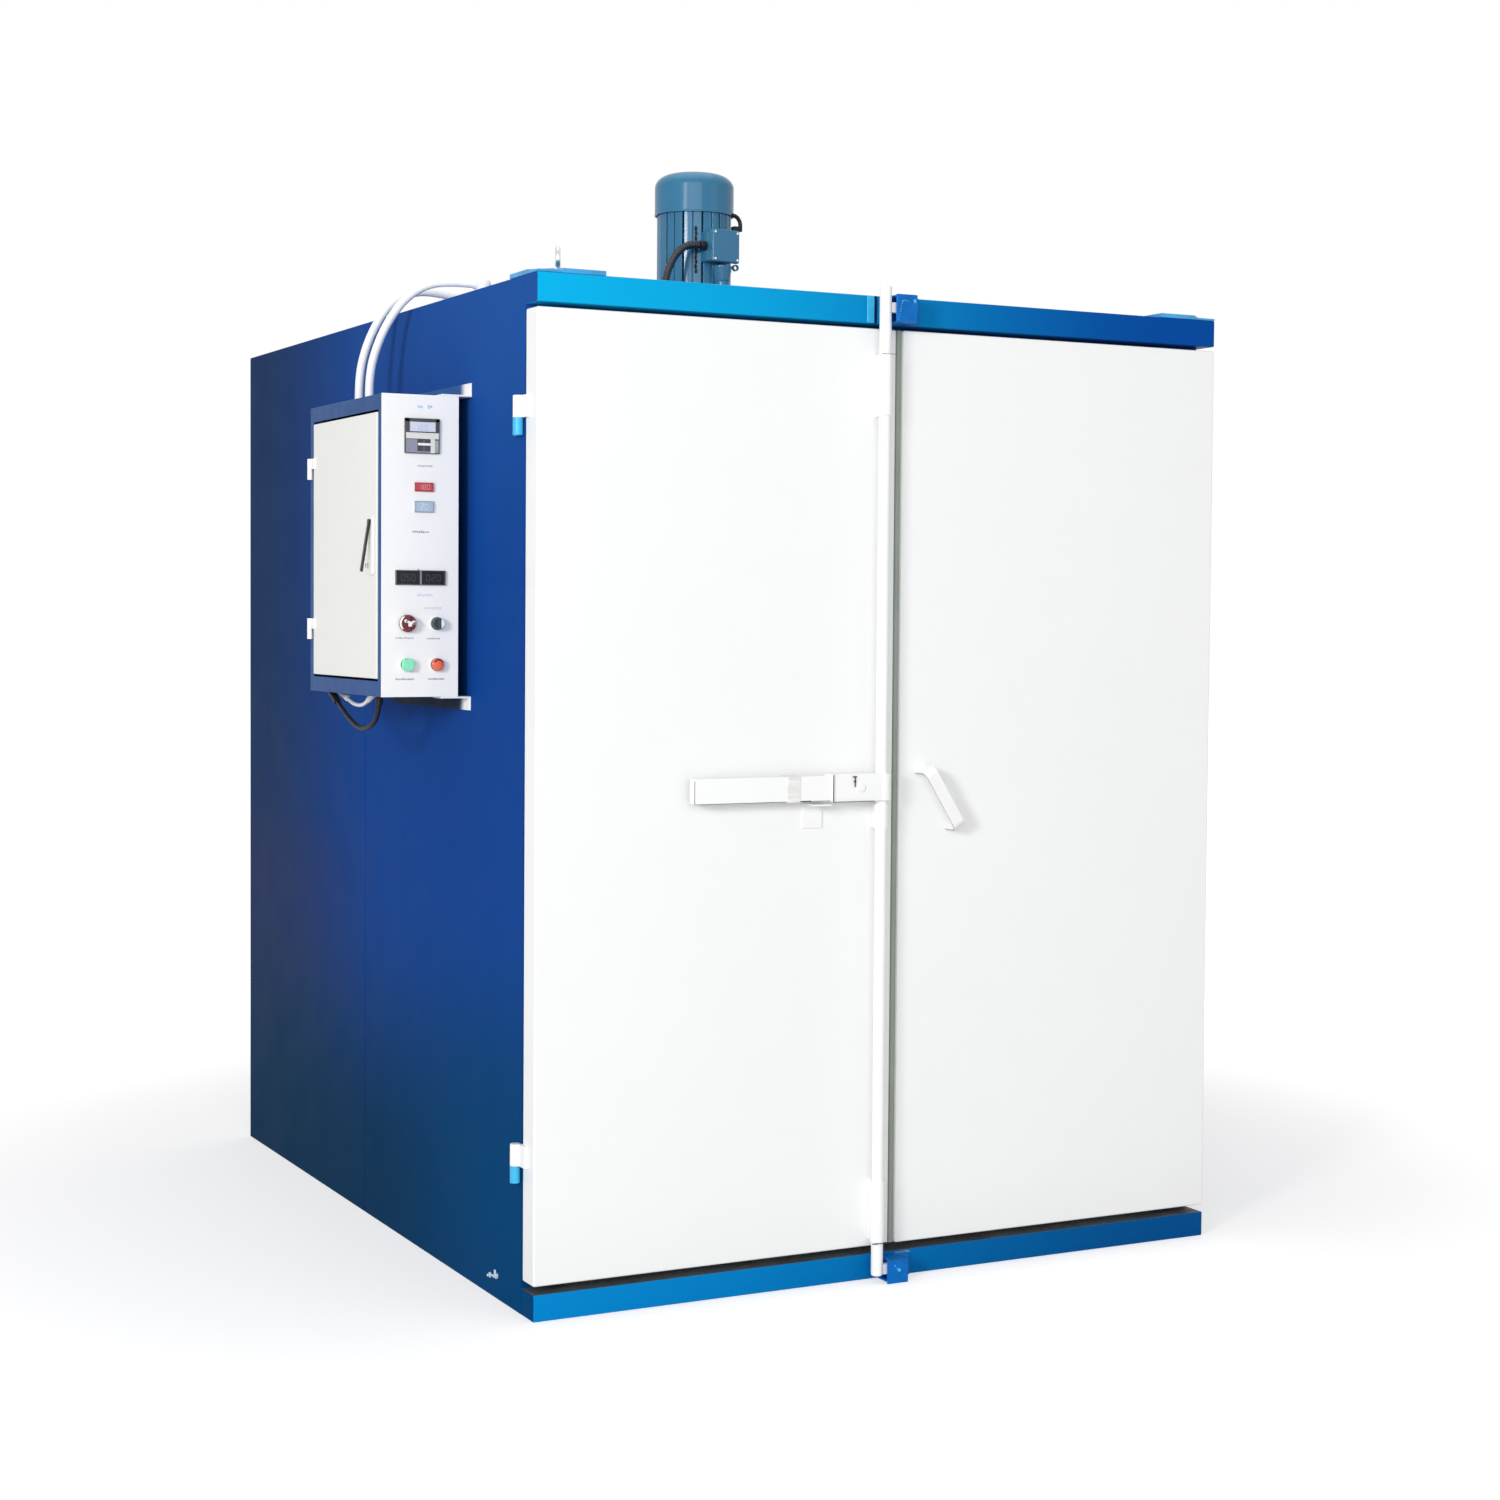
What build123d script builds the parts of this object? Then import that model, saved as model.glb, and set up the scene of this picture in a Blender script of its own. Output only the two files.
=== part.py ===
"""Batch curing oven: an insulated walk-in cabinet with two swinging doors.

Frame: the origin is the middle of the footprint on the floor. X runs to the
right along the front, Y runs from the doors to the rear wall, Z is up.
All sizes are in millimetres.
"""
from build123d import *
from math import pi, radians, tan
import os

# Oven body
oven_width = 1740.0
oven_depth = 2115.0
oven_height = 2200.0
panel_thickness = 100.0
door_recess = 70.0
header_height = 62.0
sill_height = 58.0
seam_from_front = 1104.0

# Doors
door_top_gap = 10.0
door_bottom_gap = 17.0
door_centre_gap = 18.0
running_clearance = 5.0
gasket_thickness = 3.0
gasket_width = 16.0
gasket_inset = 8.0
meeting_seal_thickness = 12.0
meeting_seal_depth = 42.0
meeting_seal_from_front = 8.0

# Lift-off barrel hinges of the oven doors
hinge_radius = 11.0
hinge_stand_off = 12.0
hinge_setback = 5.0
hinge_pin_radius = 6.0
hinge_pin_clearance = 0.05
hinge_pin_engagement = 38.0
hinge_axial_clearance = 0.5
upper_knuckle_height = 47.0
lower_knuckle_height = 36.0
lower_hinge_height = 320.0
upper_hinge_from_top = 299.0
hinge_tab_thickness = 8.0
hinge_tab_length = 34.0
hinge_tab_gap = 1.0

# Locking bar on the left door
bar_radius = 13.5
bar_bore_radius = 11.0
bar_from_centre = 59.0
bar_stand_off = 38.0
bar_bottom = 17.0
bar_rise = 16.0
bar_end_fillet = 5.0
bar_plug_height = 30.0
guide_clearance = 0.08
guide_wall = 2.5
guide_web = 8.0
guide_length = 136.0
middle_guide_length = 56.0
lower_guide_height = 93.0
middle_guide_below_lever = 94.0
upper_guide_from_top = 132.0
tongue_reach = 32.0
tongue_thickness = 16.0
tongue_height = 22.0
lower_tongue_height = 31.0
upper_tongue_from_top = 29.0

# Keeps that hold the tongues, on the header and the sill
keep_plate = 5.0
keep_lip = 7.0
keep_mouth_clearance = 9.5
keep_length = 55.5
keep_projection = 60.0
lower_keep_height = 52.0
keep_foot_length = 36.0

# Lever of the locking bar
lever_height = 1113.0
lever_depth = 26.0
lever_flange = 54.0
lever_sheet = 3.0
lever_length = 332.0
lever_case_length = 120.5
lever_case_height = 60.0
lever_case_depth = 40.0
lever_collar_wall = 9.0
lever_sleeve_from_tip = 223.0
lever_sleeve_width = 31.0
lever_sleeve_sheet = 2.0
keyhole_boss_radius = 9.0
keyhole_boss_height = 4.0
keyhole_from_collar = 49.5
catch_width = 48.0
catch_plate = 4.0
catch_drop = 56.0
catch_from_tip = 287.0
catch_clearance = 5.0

# Pull handle on the right door: one bent strip
handle_length = 156.0
handle_width = 30.0
handle_projection = 48.0
handle_strip = 4.0
handle_bend_radius = 16.0
handle_slant = 32.0
handle_from_centre = 103.4
handle_height = 1081.2

# Lifting pads and the eye bolt on the roof
pad_size = 156.0
pad_base_thickness = 5.0
pad_plate_thickness = 5.0
pad_corner_cut = 58.0
pad_hole_radius = 6.0
eye_collar_radius = 15.0
eye_collar_height = 8.0
eye_ring_radius = 20.0
eye_ring_section = 5.5
eye_bolt_turn = -22.8

# Circulation fan motor in the middle of the roof
stool_width = 264.0
stool_plate = 10.0
stool_radius = 92.0
stool_height = 70.0
flange_radius = 125.0
flange_thickness = 12.0
motor_radius = 96.0
motor_core_radius = 84.0
motor_slot_width = 5.0
motor_slot_count = 12
motor_slot_turn = 17.2
cowl_radius = 103.0
cowl_from_roof = 320.0
cowl_height = 108.0
cowl_shoulder_width = 50.0
cowl_shoulder_height = 35.0
cowl_sheet = 2.5
cowl_lip_gap = 2.0
cowl_skirt = 30.0
cowl_core_step = 0.5
terminal_width = 84.0
terminal_from_axis = 150.0
terminal_root = 74.0
terminal_height = 86.0
terminal_from_roof = 186.0
terminal_turn = 8.0
terminal_chamfer = 14.0

# Control box on the left wall
box_gap = 31.0
box_reach = 177.0
box_length = 510.0
box_height = 660.0
box_from_front = 375.0
box_from_top = 234.0
box_sheet = 3.0
box_side_frame = 24.0
box_top_frame = 34.0
box_door_sheet = 14.0
box_door_proud = 2.0
box_door_gap = 5.0
box_bracket_leg = 31.0
box_bracket_sheet = 4.0
box_bracket_lap = 40.0

# Hinges and swing handle of the box door
box_hinge_radius = 6.0
box_hinge_height = 48.0
lower_box_hinge = 145.0
upper_box_hinge = 517.0
box_hinge_from_edge = 5.0
box_hinge_stand_off = 7.5
box_hinge_tab = 16.0
box_hinge_pin_radius = 3.0
box_hinge_axial_clearance = 0.3
box_hinge_cap = 4.0
box_hinge_pin_end = 6.0
box_handle_base_width = 24.0
box_handle_base_height = 132.0
box_handle_base_depth = 6.0
box_handle_centre = 330.0
box_handle_from_edge = 25.0
box_handle_corner = 10.0
box_lever_from_top = 14.0
box_lever_length = 110.0
box_lever_width = 8.0
box_lever_thickness = 5.0
box_lever_tilt = 9.0
box_lever_corner = 3.5
spindle_radius = 4.0
spindle_length = 5.5
box_lever_boss_radius = 6.5
box_lever_clearance = 0.3

# Instruments on the white panel, placed from the panel's lower left corner
controller_width = 79.0
controller_height = 76.0
display_width = 42.0
red_display_height = 19.0
blue_display_height = 24.0
counter_width = 114.0
counter_height = 32.0
bezel_depth = 7.0
instrument_body_depth = 62.0
instrument_body_margin = 4.0
cutout_clearance = 0.5
controller_centre = (91.0, 570.0)
red_display_centre = (96.0, 459.0)
blue_display_centre = (96.0, 416.0)
counter_centre = (88.0, 261.0)
knob_row_height = 161.0
button_row_height = 71.0
left_column = 57.0
right_column = 126.0
collar_radius = 14.5
collar_depth = 5.0
collar_barrel_radius = 11.0
collar_barrel_depth = 40.0
left_knob_radius = 19.0
right_knob_radius = 14.0
knob_depth = 18.0
knob_clearance = 0.3
knob_stem_radius = 7.0
knob_stem_length = 12.0
knob_stem_room = 1.0
stem_clearance = 0.05
button_radius = 10.5
button_head_radius = 13.6
button_head_depth = 6.0
button_depth = 11.0
button_travel = 4.0
button_proud = 1.0
button_clearance = 0.4

# Conduits and cables
conduit_diameter = 20.0
hose_diameter = 20.0
cable_diameter = 11.0
white_cable_diameter = 9.0
boot_wall = 2.5
gland_radius = 15.0
gland_height = 22.0
gland_nut_height = 8.0
gland_wall = 2.0
elbow_radius = 17.0
elbow_neck = 24.0
arc_share = 0.45

# Faces that the rest is placed from
left = -oven_width / 2
right = oven_width / 2
front = -oven_depth / 2
rear = oven_depth / 2
wall_front = front + door_recess
seam = front + seam_from_front
inner_left = left + panel_thickness
inner_right = right - panel_thickness
inner_rear = rear - panel_thickness
ceiling = oven_height - panel_thickness
header_bottom = oven_height - header_height
door_thickness = door_recess - gasket_thickness - running_clearance
door_bottom = sill_height + door_bottom_gap
door_top = header_bottom - door_top_gap
leaf_edge = door_centre_gap / 2
door_back = front + door_thickness
hinge_split_heights = (lower_hinge_height, oven_height - upper_hinge_from_top)
middle_guide_height = lever_height - middle_guide_below_lever
upper_guide_top = oven_height - upper_guide_from_top
guide_spans = (
    (lower_guide_height, lower_guide_height + guide_length),
    (middle_guide_height, middle_guide_height + middle_guide_length),
    (upper_guide_top - guide_length, upper_guide_top),
)
bar_top = oven_height + bar_rise
upper_tongue_height = oven_height - upper_tongue_from_top
cowl_bottom = oven_height + cowl_from_roof
cowl_top = cowl_bottom + cowl_height
terminal_bottom = oven_height + terminal_from_roof
box_bottom = oven_height - box_from_top - box_height
box_hinge_heights = (box_bottom + lower_box_hinge, box_bottom + upper_box_hinge)
box_handle_height = box_bottom + box_handle_centre

os.makedirs("parts", exist_ok=True)


def block(x, y, z):
    """A box between three (low, high) pairs."""
    size = [high - low for low, high in (x, y, z)]
    middle = [(high + low) / 2 for low, high in (x, y, z)]
    return Pos(*middle) * Box(*size)


def rod(radius, start, end):
    """A round bar from one point to another."""
    axis = Vector(*end) - Vector(*start)
    plane = Plane(origin=start, z_dir=axis)
    return extrude(plane * Circle(radius), axis.length)


def keep_node(name, *solids):
    """Write one named sub-part."""
    export_step(Compound(children=list(solids)), f"parts/{name}.step")


def mirror_x(shape):
    """The same shape on the other side of the oven."""
    return mirror(shape, about=Plane.YZ)


# Insulated panels
left_x = (left, inner_left)
right_x = (inner_right, right)
inside_x = (inner_left, inner_right)
full_height = (0, oven_height)
keep_node("left_wall_front", block(left_x, (wall_front, seam), full_height))
keep_node("left_wall_rear", block(left_x, (seam, rear), full_height))
keep_node("right_wall_front", block(right_x, (wall_front, seam), full_height))
keep_node("right_wall_rear", block(right_x, (seam, rear), full_height))
keep_node("rear_wall", block(inside_x, (inner_rear, rear), full_height))
keep_node("roof_panel", block(inside_x, (wall_front, inner_rear), (ceiling, oven_height)))
keep_node("floor_panel", block(inside_x, (wall_front, inner_rear), (0, panel_thickness)))

# Front frame beams, which stand forward of the walls by the door's recess
beam_y = (front, wall_front)
keep_node("header_beam", block((left, right), beam_y, (header_bottom, oven_height)))
keep_node("sill_beam", block((left, right), beam_y, (0, sill_height)))


def doorway_gasket():
    """Flat seal round the doorway, on the front edges of the panels."""
    inner_half = inner_right + gasket_inset
    low = panel_thickness - gasket_inset
    high = ceiling + gasket_inset
    y = (wall_front - gasket_thickness, wall_front)
    outer_half = inner_half + gasket_width
    outer = block((-outer_half, outer_half), y, (low - gasket_width, high + gasket_width))
    return outer - block((-inner_half, inner_half), y, (low, high))


keep_node("doorway_gasket", doorway_gasket())

# Oven doors
leaf_y = (front, door_back)
leaf_z = (door_bottom, door_top)
keep_node("left_door_leaf", block((left, -leaf_edge), leaf_y, leaf_z))
keep_node("right_door_leaf", block((leaf_edge, right), leaf_y, leaf_z))

seal_x = (leaf_edge - meeting_seal_thickness, leaf_edge)
seal_start = front + meeting_seal_from_front
seal_y = (seal_start, seal_start + meeting_seal_depth)
keep_node("meeting_seal", block(seal_x, seal_y, leaf_z))

# Barrel hinges: the upper knuckle is the door's, the lower one has the pin
hinge_x = left - hinge_stand_off
hinge_y = wall_front + hinge_setback


def upper_knuckle(split):
    low = split + hinge_axial_clearance
    high = split + upper_knuckle_height
    barrel = rod(hinge_radius, (hinge_x, hinge_y, low), (hinge_x, hinge_y, high))
    tab_x = (left - hinge_tab_thickness, left)
    tab_end = wall_front - hinge_tab_gap
    tab = block(tab_x, (tab_end - hinge_tab_length, tab_end), (low, high))
    bore_radius = hinge_pin_radius + hinge_pin_clearance
    bore_top = low + hinge_pin_engagement + hinge_axial_clearance
    bore = rod(bore_radius, (hinge_x, hinge_y, low), (hinge_x, hinge_y, bore_top))
    return barrel + tab - bore


def lower_knuckle(split):
    low = split - lower_knuckle_height
    barrel = rod(hinge_radius, (hinge_x, hinge_y, low), (hinge_x, hinge_y, split))
    tab_x = (left - hinge_tab_thickness, left)
    tab = block(tab_x, (hinge_y, hinge_y + hinge_tab_length), (low, split))
    pin_top = split + hinge_pin_engagement
    pin = rod(hinge_pin_radius, (hinge_x, hinge_y, split), (hinge_x, hinge_y, pin_top))
    return barrel + tab + pin


left_upper = [upper_knuckle(split) for split in hinge_split_heights]
left_lower = [lower_knuckle(split) for split in hinge_split_heights]
keep_node("left_door_knuckles", *left_upper)
keep_node("right_door_knuckles", *[mirror_x(knuckle) for knuckle in left_upper])
keep_node("door_hinge_pins", *left_lower, *[mirror_x(knuckle) for knuckle in left_lower])

# Locking bar with its two tongues
bar_x = -bar_from_centre
bar_y = front - bar_stand_off


def locking_bar():
    tube = rod(bar_radius, (bar_x, bar_y, bar_bottom), (bar_x, bar_y, bar_top))
    tube = fillet(tube.edges().sort_by(Axis.Z)[0], bar_end_fillet)
    bore_start = (bar_x, bar_y, bar_bottom + bar_plug_height)
    return tube - rod(bar_bore_radius, bore_start, (bar_x, bar_y, bar_top))


def lock_tongue(middle):
    """Flat tongue welded to the bar, which turns in behind its keep's front plate."""
    z = (middle - tongue_height / 2, middle + tongue_height / 2)
    tongue_y = (bar_y - tongue_thickness / 2, bar_y + tongue_thickness / 2)
    tongue = block((bar_x, bar_x + tongue_reach), tongue_y, z)
    return tongue - rod(bar_radius, (bar_x, bar_y, z[0]), (bar_x, bar_y, z[1]))


keep_node("locking_bar", locking_bar())
keep_node("lock_tongues", lock_tongue(lower_tongue_height), lock_tongue(upper_tongue_height))


def bar_guide(z):
    """Bearing tube round the bar, on a web that is welded to the leaf."""
    tube_radius = bar_radius + guide_clearance + guide_wall
    tube = rod(tube_radius, (bar_x, bar_y, z[0]), (bar_x, bar_y, z[1]))
    web = block((bar_x - guide_web / 2, bar_x + guide_web / 2), (bar_y, front), z)
    bore = rod(bar_radius + guide_clearance, (bar_x, bar_y, z[0]), (bar_x, bar_y, z[1]))
    return tube + web - bore


keep_node("bar_guides", *[bar_guide(span) for span in guide_spans])

# Keeps
keep_x = (bar_x + bar_radius + keep_mouth_clearance, bar_x + bar_radius + keep_length)
keep_y = (front - keep_projection, front)


def keep_socket(low, high):
    """Box that is open to the left, where the tongue turns in behind its front plate."""
    body = block(keep_x, keep_y, (low, high))
    room_x = (keep_x[0], keep_x[1] - keep_plate)
    room_y = (keep_y[0] + keep_plate, keep_y[1] - keep_plate)
    return body - block(room_x, room_y, (low + keep_plate, high - keep_plate))


def keep(low, high):
    """Socket whose front plate has a lip, with a side flange that is bolted to the beam."""
    lip = block((keep_x[0] - keep_lip, keep_x[0]), (keep_y[0], keep_y[0] + keep_plate), (low, high))
    flange_x = (keep_x[1] - keep_plate, keep_x[1] + keep_foot_length)
    flange = block(flange_x, (front - keep_plate, front), (low, high))
    return keep_socket(low, high) + lip + flange


keep_node("lock_keeps", keep(header_bottom, oven_height), keep(0, lower_keep_height))

# Lever: a folded channel on a lock case, clamped round the bar by a collar
collar_radius_outer = bar_radius + lever_collar_wall
case_x = (bar_x - bar_radius - lever_case_length, bar_x - bar_radius)
channel_x = (case_x[0] - lever_length, case_x[0])
lever_y = (bar_y - lever_depth / 2, bar_y + lever_depth / 2)
case_y = (bar_y - lever_case_depth / 2, bar_y + lever_case_depth / 2)


def lever_case():
    z = (lever_height - lever_case_height / 2, lever_height + lever_case_height / 2)
    case = block((case_x[0], bar_x), case_y, z)
    collar = rod(collar_radius_outer, (bar_x, bar_y, z[0]), (bar_x, bar_y, z[1]))
    case = case + collar - rod(bar_radius, (bar_x, bar_y, z[0]), (bar_x, bar_y, z[1]))
    key_x = bar_x - bar_radius - keyhole_from_collar
    boss_start = (key_x, case_y[0], lever_height)
    boss = rod(keyhole_boss_radius, boss_start, (key_x, case_y[0] - keyhole_boss_height, lever_height))
    return case + boss


def lever_channel():
    z = (lever_height - lever_flange / 2, lever_height + lever_flange / 2)
    channel = block(channel_x, lever_y, z)
    inside_y = (lever_y[0] + lever_sheet, lever_y[1])
    inside_z = (z[0] + lever_sheet, z[1] - lever_sheet)
    return channel - block((channel_x[0] + lever_sheet, channel_x[1]), inside_y, inside_z)


def lever_sleeve():
    """Steel plate folded round the channel's face and flanges."""
    start = channel_x[0] + lever_sleeve_from_tip
    outer_z = lever_flange / 2 + lever_sleeve_sheet
    z = (lever_height - outer_z, lever_height + outer_z)
    x = (start, start + lever_sleeve_width)
    sleeve = block(x, (lever_y[0] - lever_sleeve_sheet, lever_y[1]), z)
    return sleeve - block(x, lever_y, (lever_height - lever_flange / 2, lever_height + lever_flange / 2))


keep_node("lever_case", lever_case())
keep_node("lever_channel", lever_channel())
keep_node("lever_sleeve", lever_sleeve())


def lever_catch():
    """Rest that stands under the lever, on the left leaf."""
    x_low = channel_x[0] + catch_from_tip
    x = (x_low, x_low + catch_width)
    lip_top = lever_height - lever_case_height / 2 - catch_clearance
    plate_y = (front - catch_plate, front)
    plate = block(x, plate_y, (lip_top - catch_drop, lever_height))
    lip = block(x, (lever_y[0], front), (lip_top - catch_plate, lip_top))
    return plate + lip


keep_node("lever_catch", lever_catch())


def pull_handle():
    """Flat strip with a straight grip, whose two bent ends are welded to the leaf."""
    inner_length = handle_length - 2 * handle_strip
    inner_projection = handle_projection - handle_strip
    inner_radius = handle_bend_radius - handle_strip
    outer = RectangleRounded(handle_length, 2 * handle_projection, handle_bend_radius)
    inner = RectangleRounded(inner_length, 2 * inner_projection, inner_radius)
    outside = Pos(0, handle_projection) * Rectangle(handle_length, 2 * handle_projection)
    strip = extrude((outer - inner) & outside, handle_width / 2, both=True)
    # The grip stands off along Y: turn it to face the front, then slant it
    strip = Rot(0, 0, 180) * strip
    strip = Rot(0, 90 - handle_slant, 0) * strip
    return Pos(handle_from_centre, front, handle_height) * strip


keep_node("pull_handle", pull_handle())

# Lifting pads and the one eye bolt
pad_centre_x = left + pad_size / 2
pad_centre_y = front + pad_size / 2
pad_base_top = oven_height + pad_base_thickness
pad_top = pad_base_top + pad_plate_thickness


def lifting_pad():
    """Square base plate with a cut-cornered plate on it and one threaded hole."""
    x = (left, left + pad_size)
    y = (front, front + pad_size)
    plate = block(x, y, (pad_base_top, pad_top))
    outer_corner = plate.edges().filter_by(Axis.Z).group_by(Axis.X)[0].sort_by(Axis.Y)[0]
    plate = chamfer(outer_corner, pad_corner_cut)
    base = block(x, y, (oven_height, pad_base_top))
    hole = rod(pad_hole_radius, (pad_centre_x, pad_centre_y, oven_height), (pad_centre_x, pad_centre_y, pad_top))
    return base + plate - hole


left_pad = lifting_pad()
keep_node("lifting_pads", left_pad, mirror_x(left_pad))


def eye_bolt():
    collar_top = pad_top + eye_collar_height
    foot = (pad_centre_x, pad_centre_y, pad_top)
    collar = rod(eye_collar_radius, foot, (pad_centre_x, pad_centre_y, collar_top))
    shank = rod(pad_hole_radius, (pad_centre_x, pad_centre_y, oven_height), foot)
    ring_z = collar_top + eye_ring_radius + eye_ring_section / 2
    ring = Rot(0, 90, 0) * Torus(eye_ring_radius, eye_ring_section)
    ring = Pos(pad_centre_x, pad_centre_y, ring_z) * Rot(0, 0, eye_bolt_turn) * ring
    return collar + shank + ring


keep_node("eye_bolt", eye_bolt())

# Fan motor
stool_top = oven_height + stool_plate + stool_height
flange_top = stool_top + flange_thickness


def motor_stool():
    half = stool_width / 2
    plate = block((-half, half), (-half, half), (oven_height, oven_height + stool_plate))
    return plate + rod(stool_radius, (0, 0, oven_height + stool_plate), (0, 0, stool_top))


def motor_body():
    """Round housing with broad ribs between deep cooling slots."""
    ribs_top = cowl_bottom - cowl_lip_gap
    body = rod(motor_radius, (0, 0, flange_top), (0, 0, ribs_top))
    slot_x = (motor_core_radius, motor_radius + motor_slot_width)
    slot_y = (-motor_slot_width / 2, motor_slot_width / 2)
    slot = block(slot_x, slot_y, (flange_top, ribs_top))
    for turn in range(motor_slot_count):
        body -= Rot(0, 0, motor_slot_turn + turn * 360 / motor_slot_count) * slot
    return body + rod(motor_core_radius, (0, 0, flange_top), (0, 0, cowl_bottom + cowl_lip_gap))


def motor_cowl():
    """Turned cap with a broad oval shoulder and a thin skirt below."""
    shoulder_x = cowl_radius - cowl_shoulder_width
    shoulder_z = cowl_top - cowl_shoulder_height
    side = Polyline((0, cowl_bottom), (cowl_radius, cowl_bottom), (cowl_radius, shoulder_z))
    halfway = (shoulder_x + cowl_shoulder_width / 2 ** 0.5, shoulder_z + cowl_shoulder_height / 2 ** 0.5)
    shoulder = Spline((cowl_radius, shoulder_z), halfway, (shoulder_x, cowl_top),
                      tangents=((0, 1), (-1, 0)))
    lid = Polyline((shoulder_x, cowl_top), (0, cowl_top), (0, cowl_bottom))
    cowl = revolve(Plane.XZ * make_face(side + shoulder + lid), Axis.Z)
    skirt_top = (0, 0, cowl_bottom + cowl_skirt)
    inner = rod(cowl_radius - cowl_sheet, (0, 0, cowl_bottom), skirt_top)
    core = rod(motor_core_radius + cowl_core_step, (0, 0, cowl_bottom + cowl_lip_gap), skirt_top)
    return cowl - inner + core


def terminal_box():
    """Cast box on the side of the motor, with a chamfered lower front."""
    x = (-terminal_width / 2, terminal_width / 2)
    y = (-terminal_from_axis, -terminal_root)
    housing = block(x, y, (terminal_bottom, terminal_bottom + terminal_height))
    low_front = housing.edges().filter_by(Axis.X).group_by(Axis.Z)[0].sort_by(Axis.Y)[0]
    return Rot(0, 0, terminal_turn) * chamfer(low_front, terminal_chamfer)


keep_node("motor_stool", motor_stool())
keep_node("motor_flange", rod(flange_radius, (0, 0, stool_top), (0, 0, flange_top)))
terminal_solid = terminal_box()
keep_node("motor_body", motor_body() - terminal_solid)
keep_node("motor_cowl", motor_cowl())
keep_node("terminal_box", terminal_solid)

# Control box
box_x = (left - box_gap - box_reach, left - box_gap)
box_y = (front + box_from_front, front + box_from_front + box_length)
box_z = (box_bottom, box_bottom + box_height)
panel_back = box_y[0] + box_sheet
opening_y = (box_y[0] + box_side_frame, box_y[1] - box_side_frame)
opening_z = (box_z[0] + box_top_frame, box_z[1] - box_top_frame)


def box_shell():
    """Sheet enclosure, open at the front for the panel and at the side for the door."""
    shell = block(box_x, (panel_back, box_y[1]), box_z)
    room_x = (box_x[0] + box_sheet, box_x[1] - box_sheet)
    room_z = (box_z[0] + box_sheet, box_z[1] - box_sheet)
    shell -= block(room_x, (panel_back, box_y[1] - box_sheet), room_z)
    door_hole_x = (box_x[0], box_x[0] + box_sheet)
    return shell - block(door_hole_x, opening_y, opening_z)


keep_node("control_box_shell", box_shell())


def box_brackets():
    """Two bent strips, above and below, that carry the box on the wall."""
    shapes = []
    for base, side in ((box_z[1], 1), (box_z[0], -1)):
        flat_z = sorted((base, base + side * box_bracket_sheet))
        leg_z = sorted((base, base + side * box_bracket_leg))
        flat = block((box_x[1] - box_bracket_lap, left), box_y, flat_z)
        shapes.append(flat + block((left - box_bracket_sheet, left), box_y, leg_z))
    return shapes


keep_node("control_box_brackets", *box_brackets())

# Box door, with its hinges at the rear edge
door_leaf_y = (opening_y[0] + box_door_gap, opening_y[1] - box_door_gap)
door_leaf_z = (opening_z[0] + box_door_gap, opening_z[1] - box_door_gap)
door_leaf_x = (box_x[0] - box_door_proud, box_x[0] - box_door_proud + box_door_sheet)
box_hinge_x = box_x[0] - box_hinge_stand_off
box_hinge_y = opening_y[1] + box_hinge_from_edge
keep_node("box_door_leaf", block(door_leaf_x, door_leaf_y, door_leaf_z))


def box_knuckle(height, part):
    """One half of a hinge: the door's knuckle is the upper one, the box's has the pin."""
    half = box_hinge_height / 2
    if part == "door":
        z = (height + box_hinge_axial_clearance, height + half)
        tab_y = (door_leaf_y[1] - box_hinge_tab, box_hinge_y)
        tab = block((box_hinge_x, door_leaf_x[0]), tab_y, z)
    else:
        z = (height - half, height)
        tab_y = (box_hinge_y, box_hinge_y + box_hinge_tab)
        tab = block((box_hinge_x, box_x[0]), tab_y, z)
    barrel = rod(box_hinge_radius, (box_hinge_x, box_hinge_y, z[0]), (box_hinge_x, box_hinge_y, z[1]))
    if part == "door":
        bore_end = (box_hinge_x, box_hinge_y, height + half - box_hinge_cap)
        bore_radius = box_hinge_pin_radius + hinge_pin_clearance
        return barrel + tab - rod(bore_radius, (box_hinge_x, box_hinge_y, z[0]), bore_end)
    pin_end = (box_hinge_x, box_hinge_y, height + half - box_hinge_pin_end)
    return barrel + tab + rod(box_hinge_pin_radius, (box_hinge_x, box_hinge_y, height), pin_end)


keep_node("box_door_knuckles", *[box_knuckle(height, "door") for height in box_hinge_heights])
keep_node("box_hinge_pins", *[box_knuckle(height, "box") for height in box_hinge_heights])

handle_y = door_leaf_y[0] + box_handle_from_edge
base_z = (box_handle_height - box_handle_base_height / 2,
          box_handle_height + box_handle_base_height / 2)
base_x = (door_leaf_x[0] - box_handle_base_depth, door_leaf_x[0])
pivot_z = base_z[1] - box_lever_from_top


def box_handle_base():
    half = box_handle_base_width / 2
    plate = block(base_x, (handle_y - half, handle_y + half), base_z)
    plate = fillet(plate.edges().filter_by(Axis.X), box_handle_corner)
    bore_radius = spindle_radius + stem_clearance
    return plate - rod(bore_radius, (base_x[0], handle_y, pivot_z), (base_x[1], handle_y, pivot_z))


keep_node("box_handle_base", box_handle_base())


def box_lever():
    """Swing lever: a boss on the base and a bar that stands off at its lower end."""
    boss_end = base_x[0] - box_lever_clearance
    boss_x = boss_end - box_lever_thickness
    boss = rod(box_lever_boss_radius, (boss_end, handle_y, pivot_z), (boss_x, handle_y, pivot_z))
    bar = Box(box_lever_thickness, box_lever_width, box_lever_length)
    bar = fillet(bar.edges().filter_by(Axis.X), box_lever_corner)
    bar = Pos(0, 0, -box_lever_length / 2) * bar
    bar = Rot(0, box_lever_tilt, 0) * bar
    spindle_end = base_x[0] + spindle_length
    spindle = rod(spindle_radius, (boss_end, handle_y, pivot_z), (spindle_end, handle_y, pivot_z))
    return boss + spindle + Pos(boss_end - box_lever_thickness / 2, handle_y, pivot_z) * bar


keep_node("box_lever", box_lever())

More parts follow.
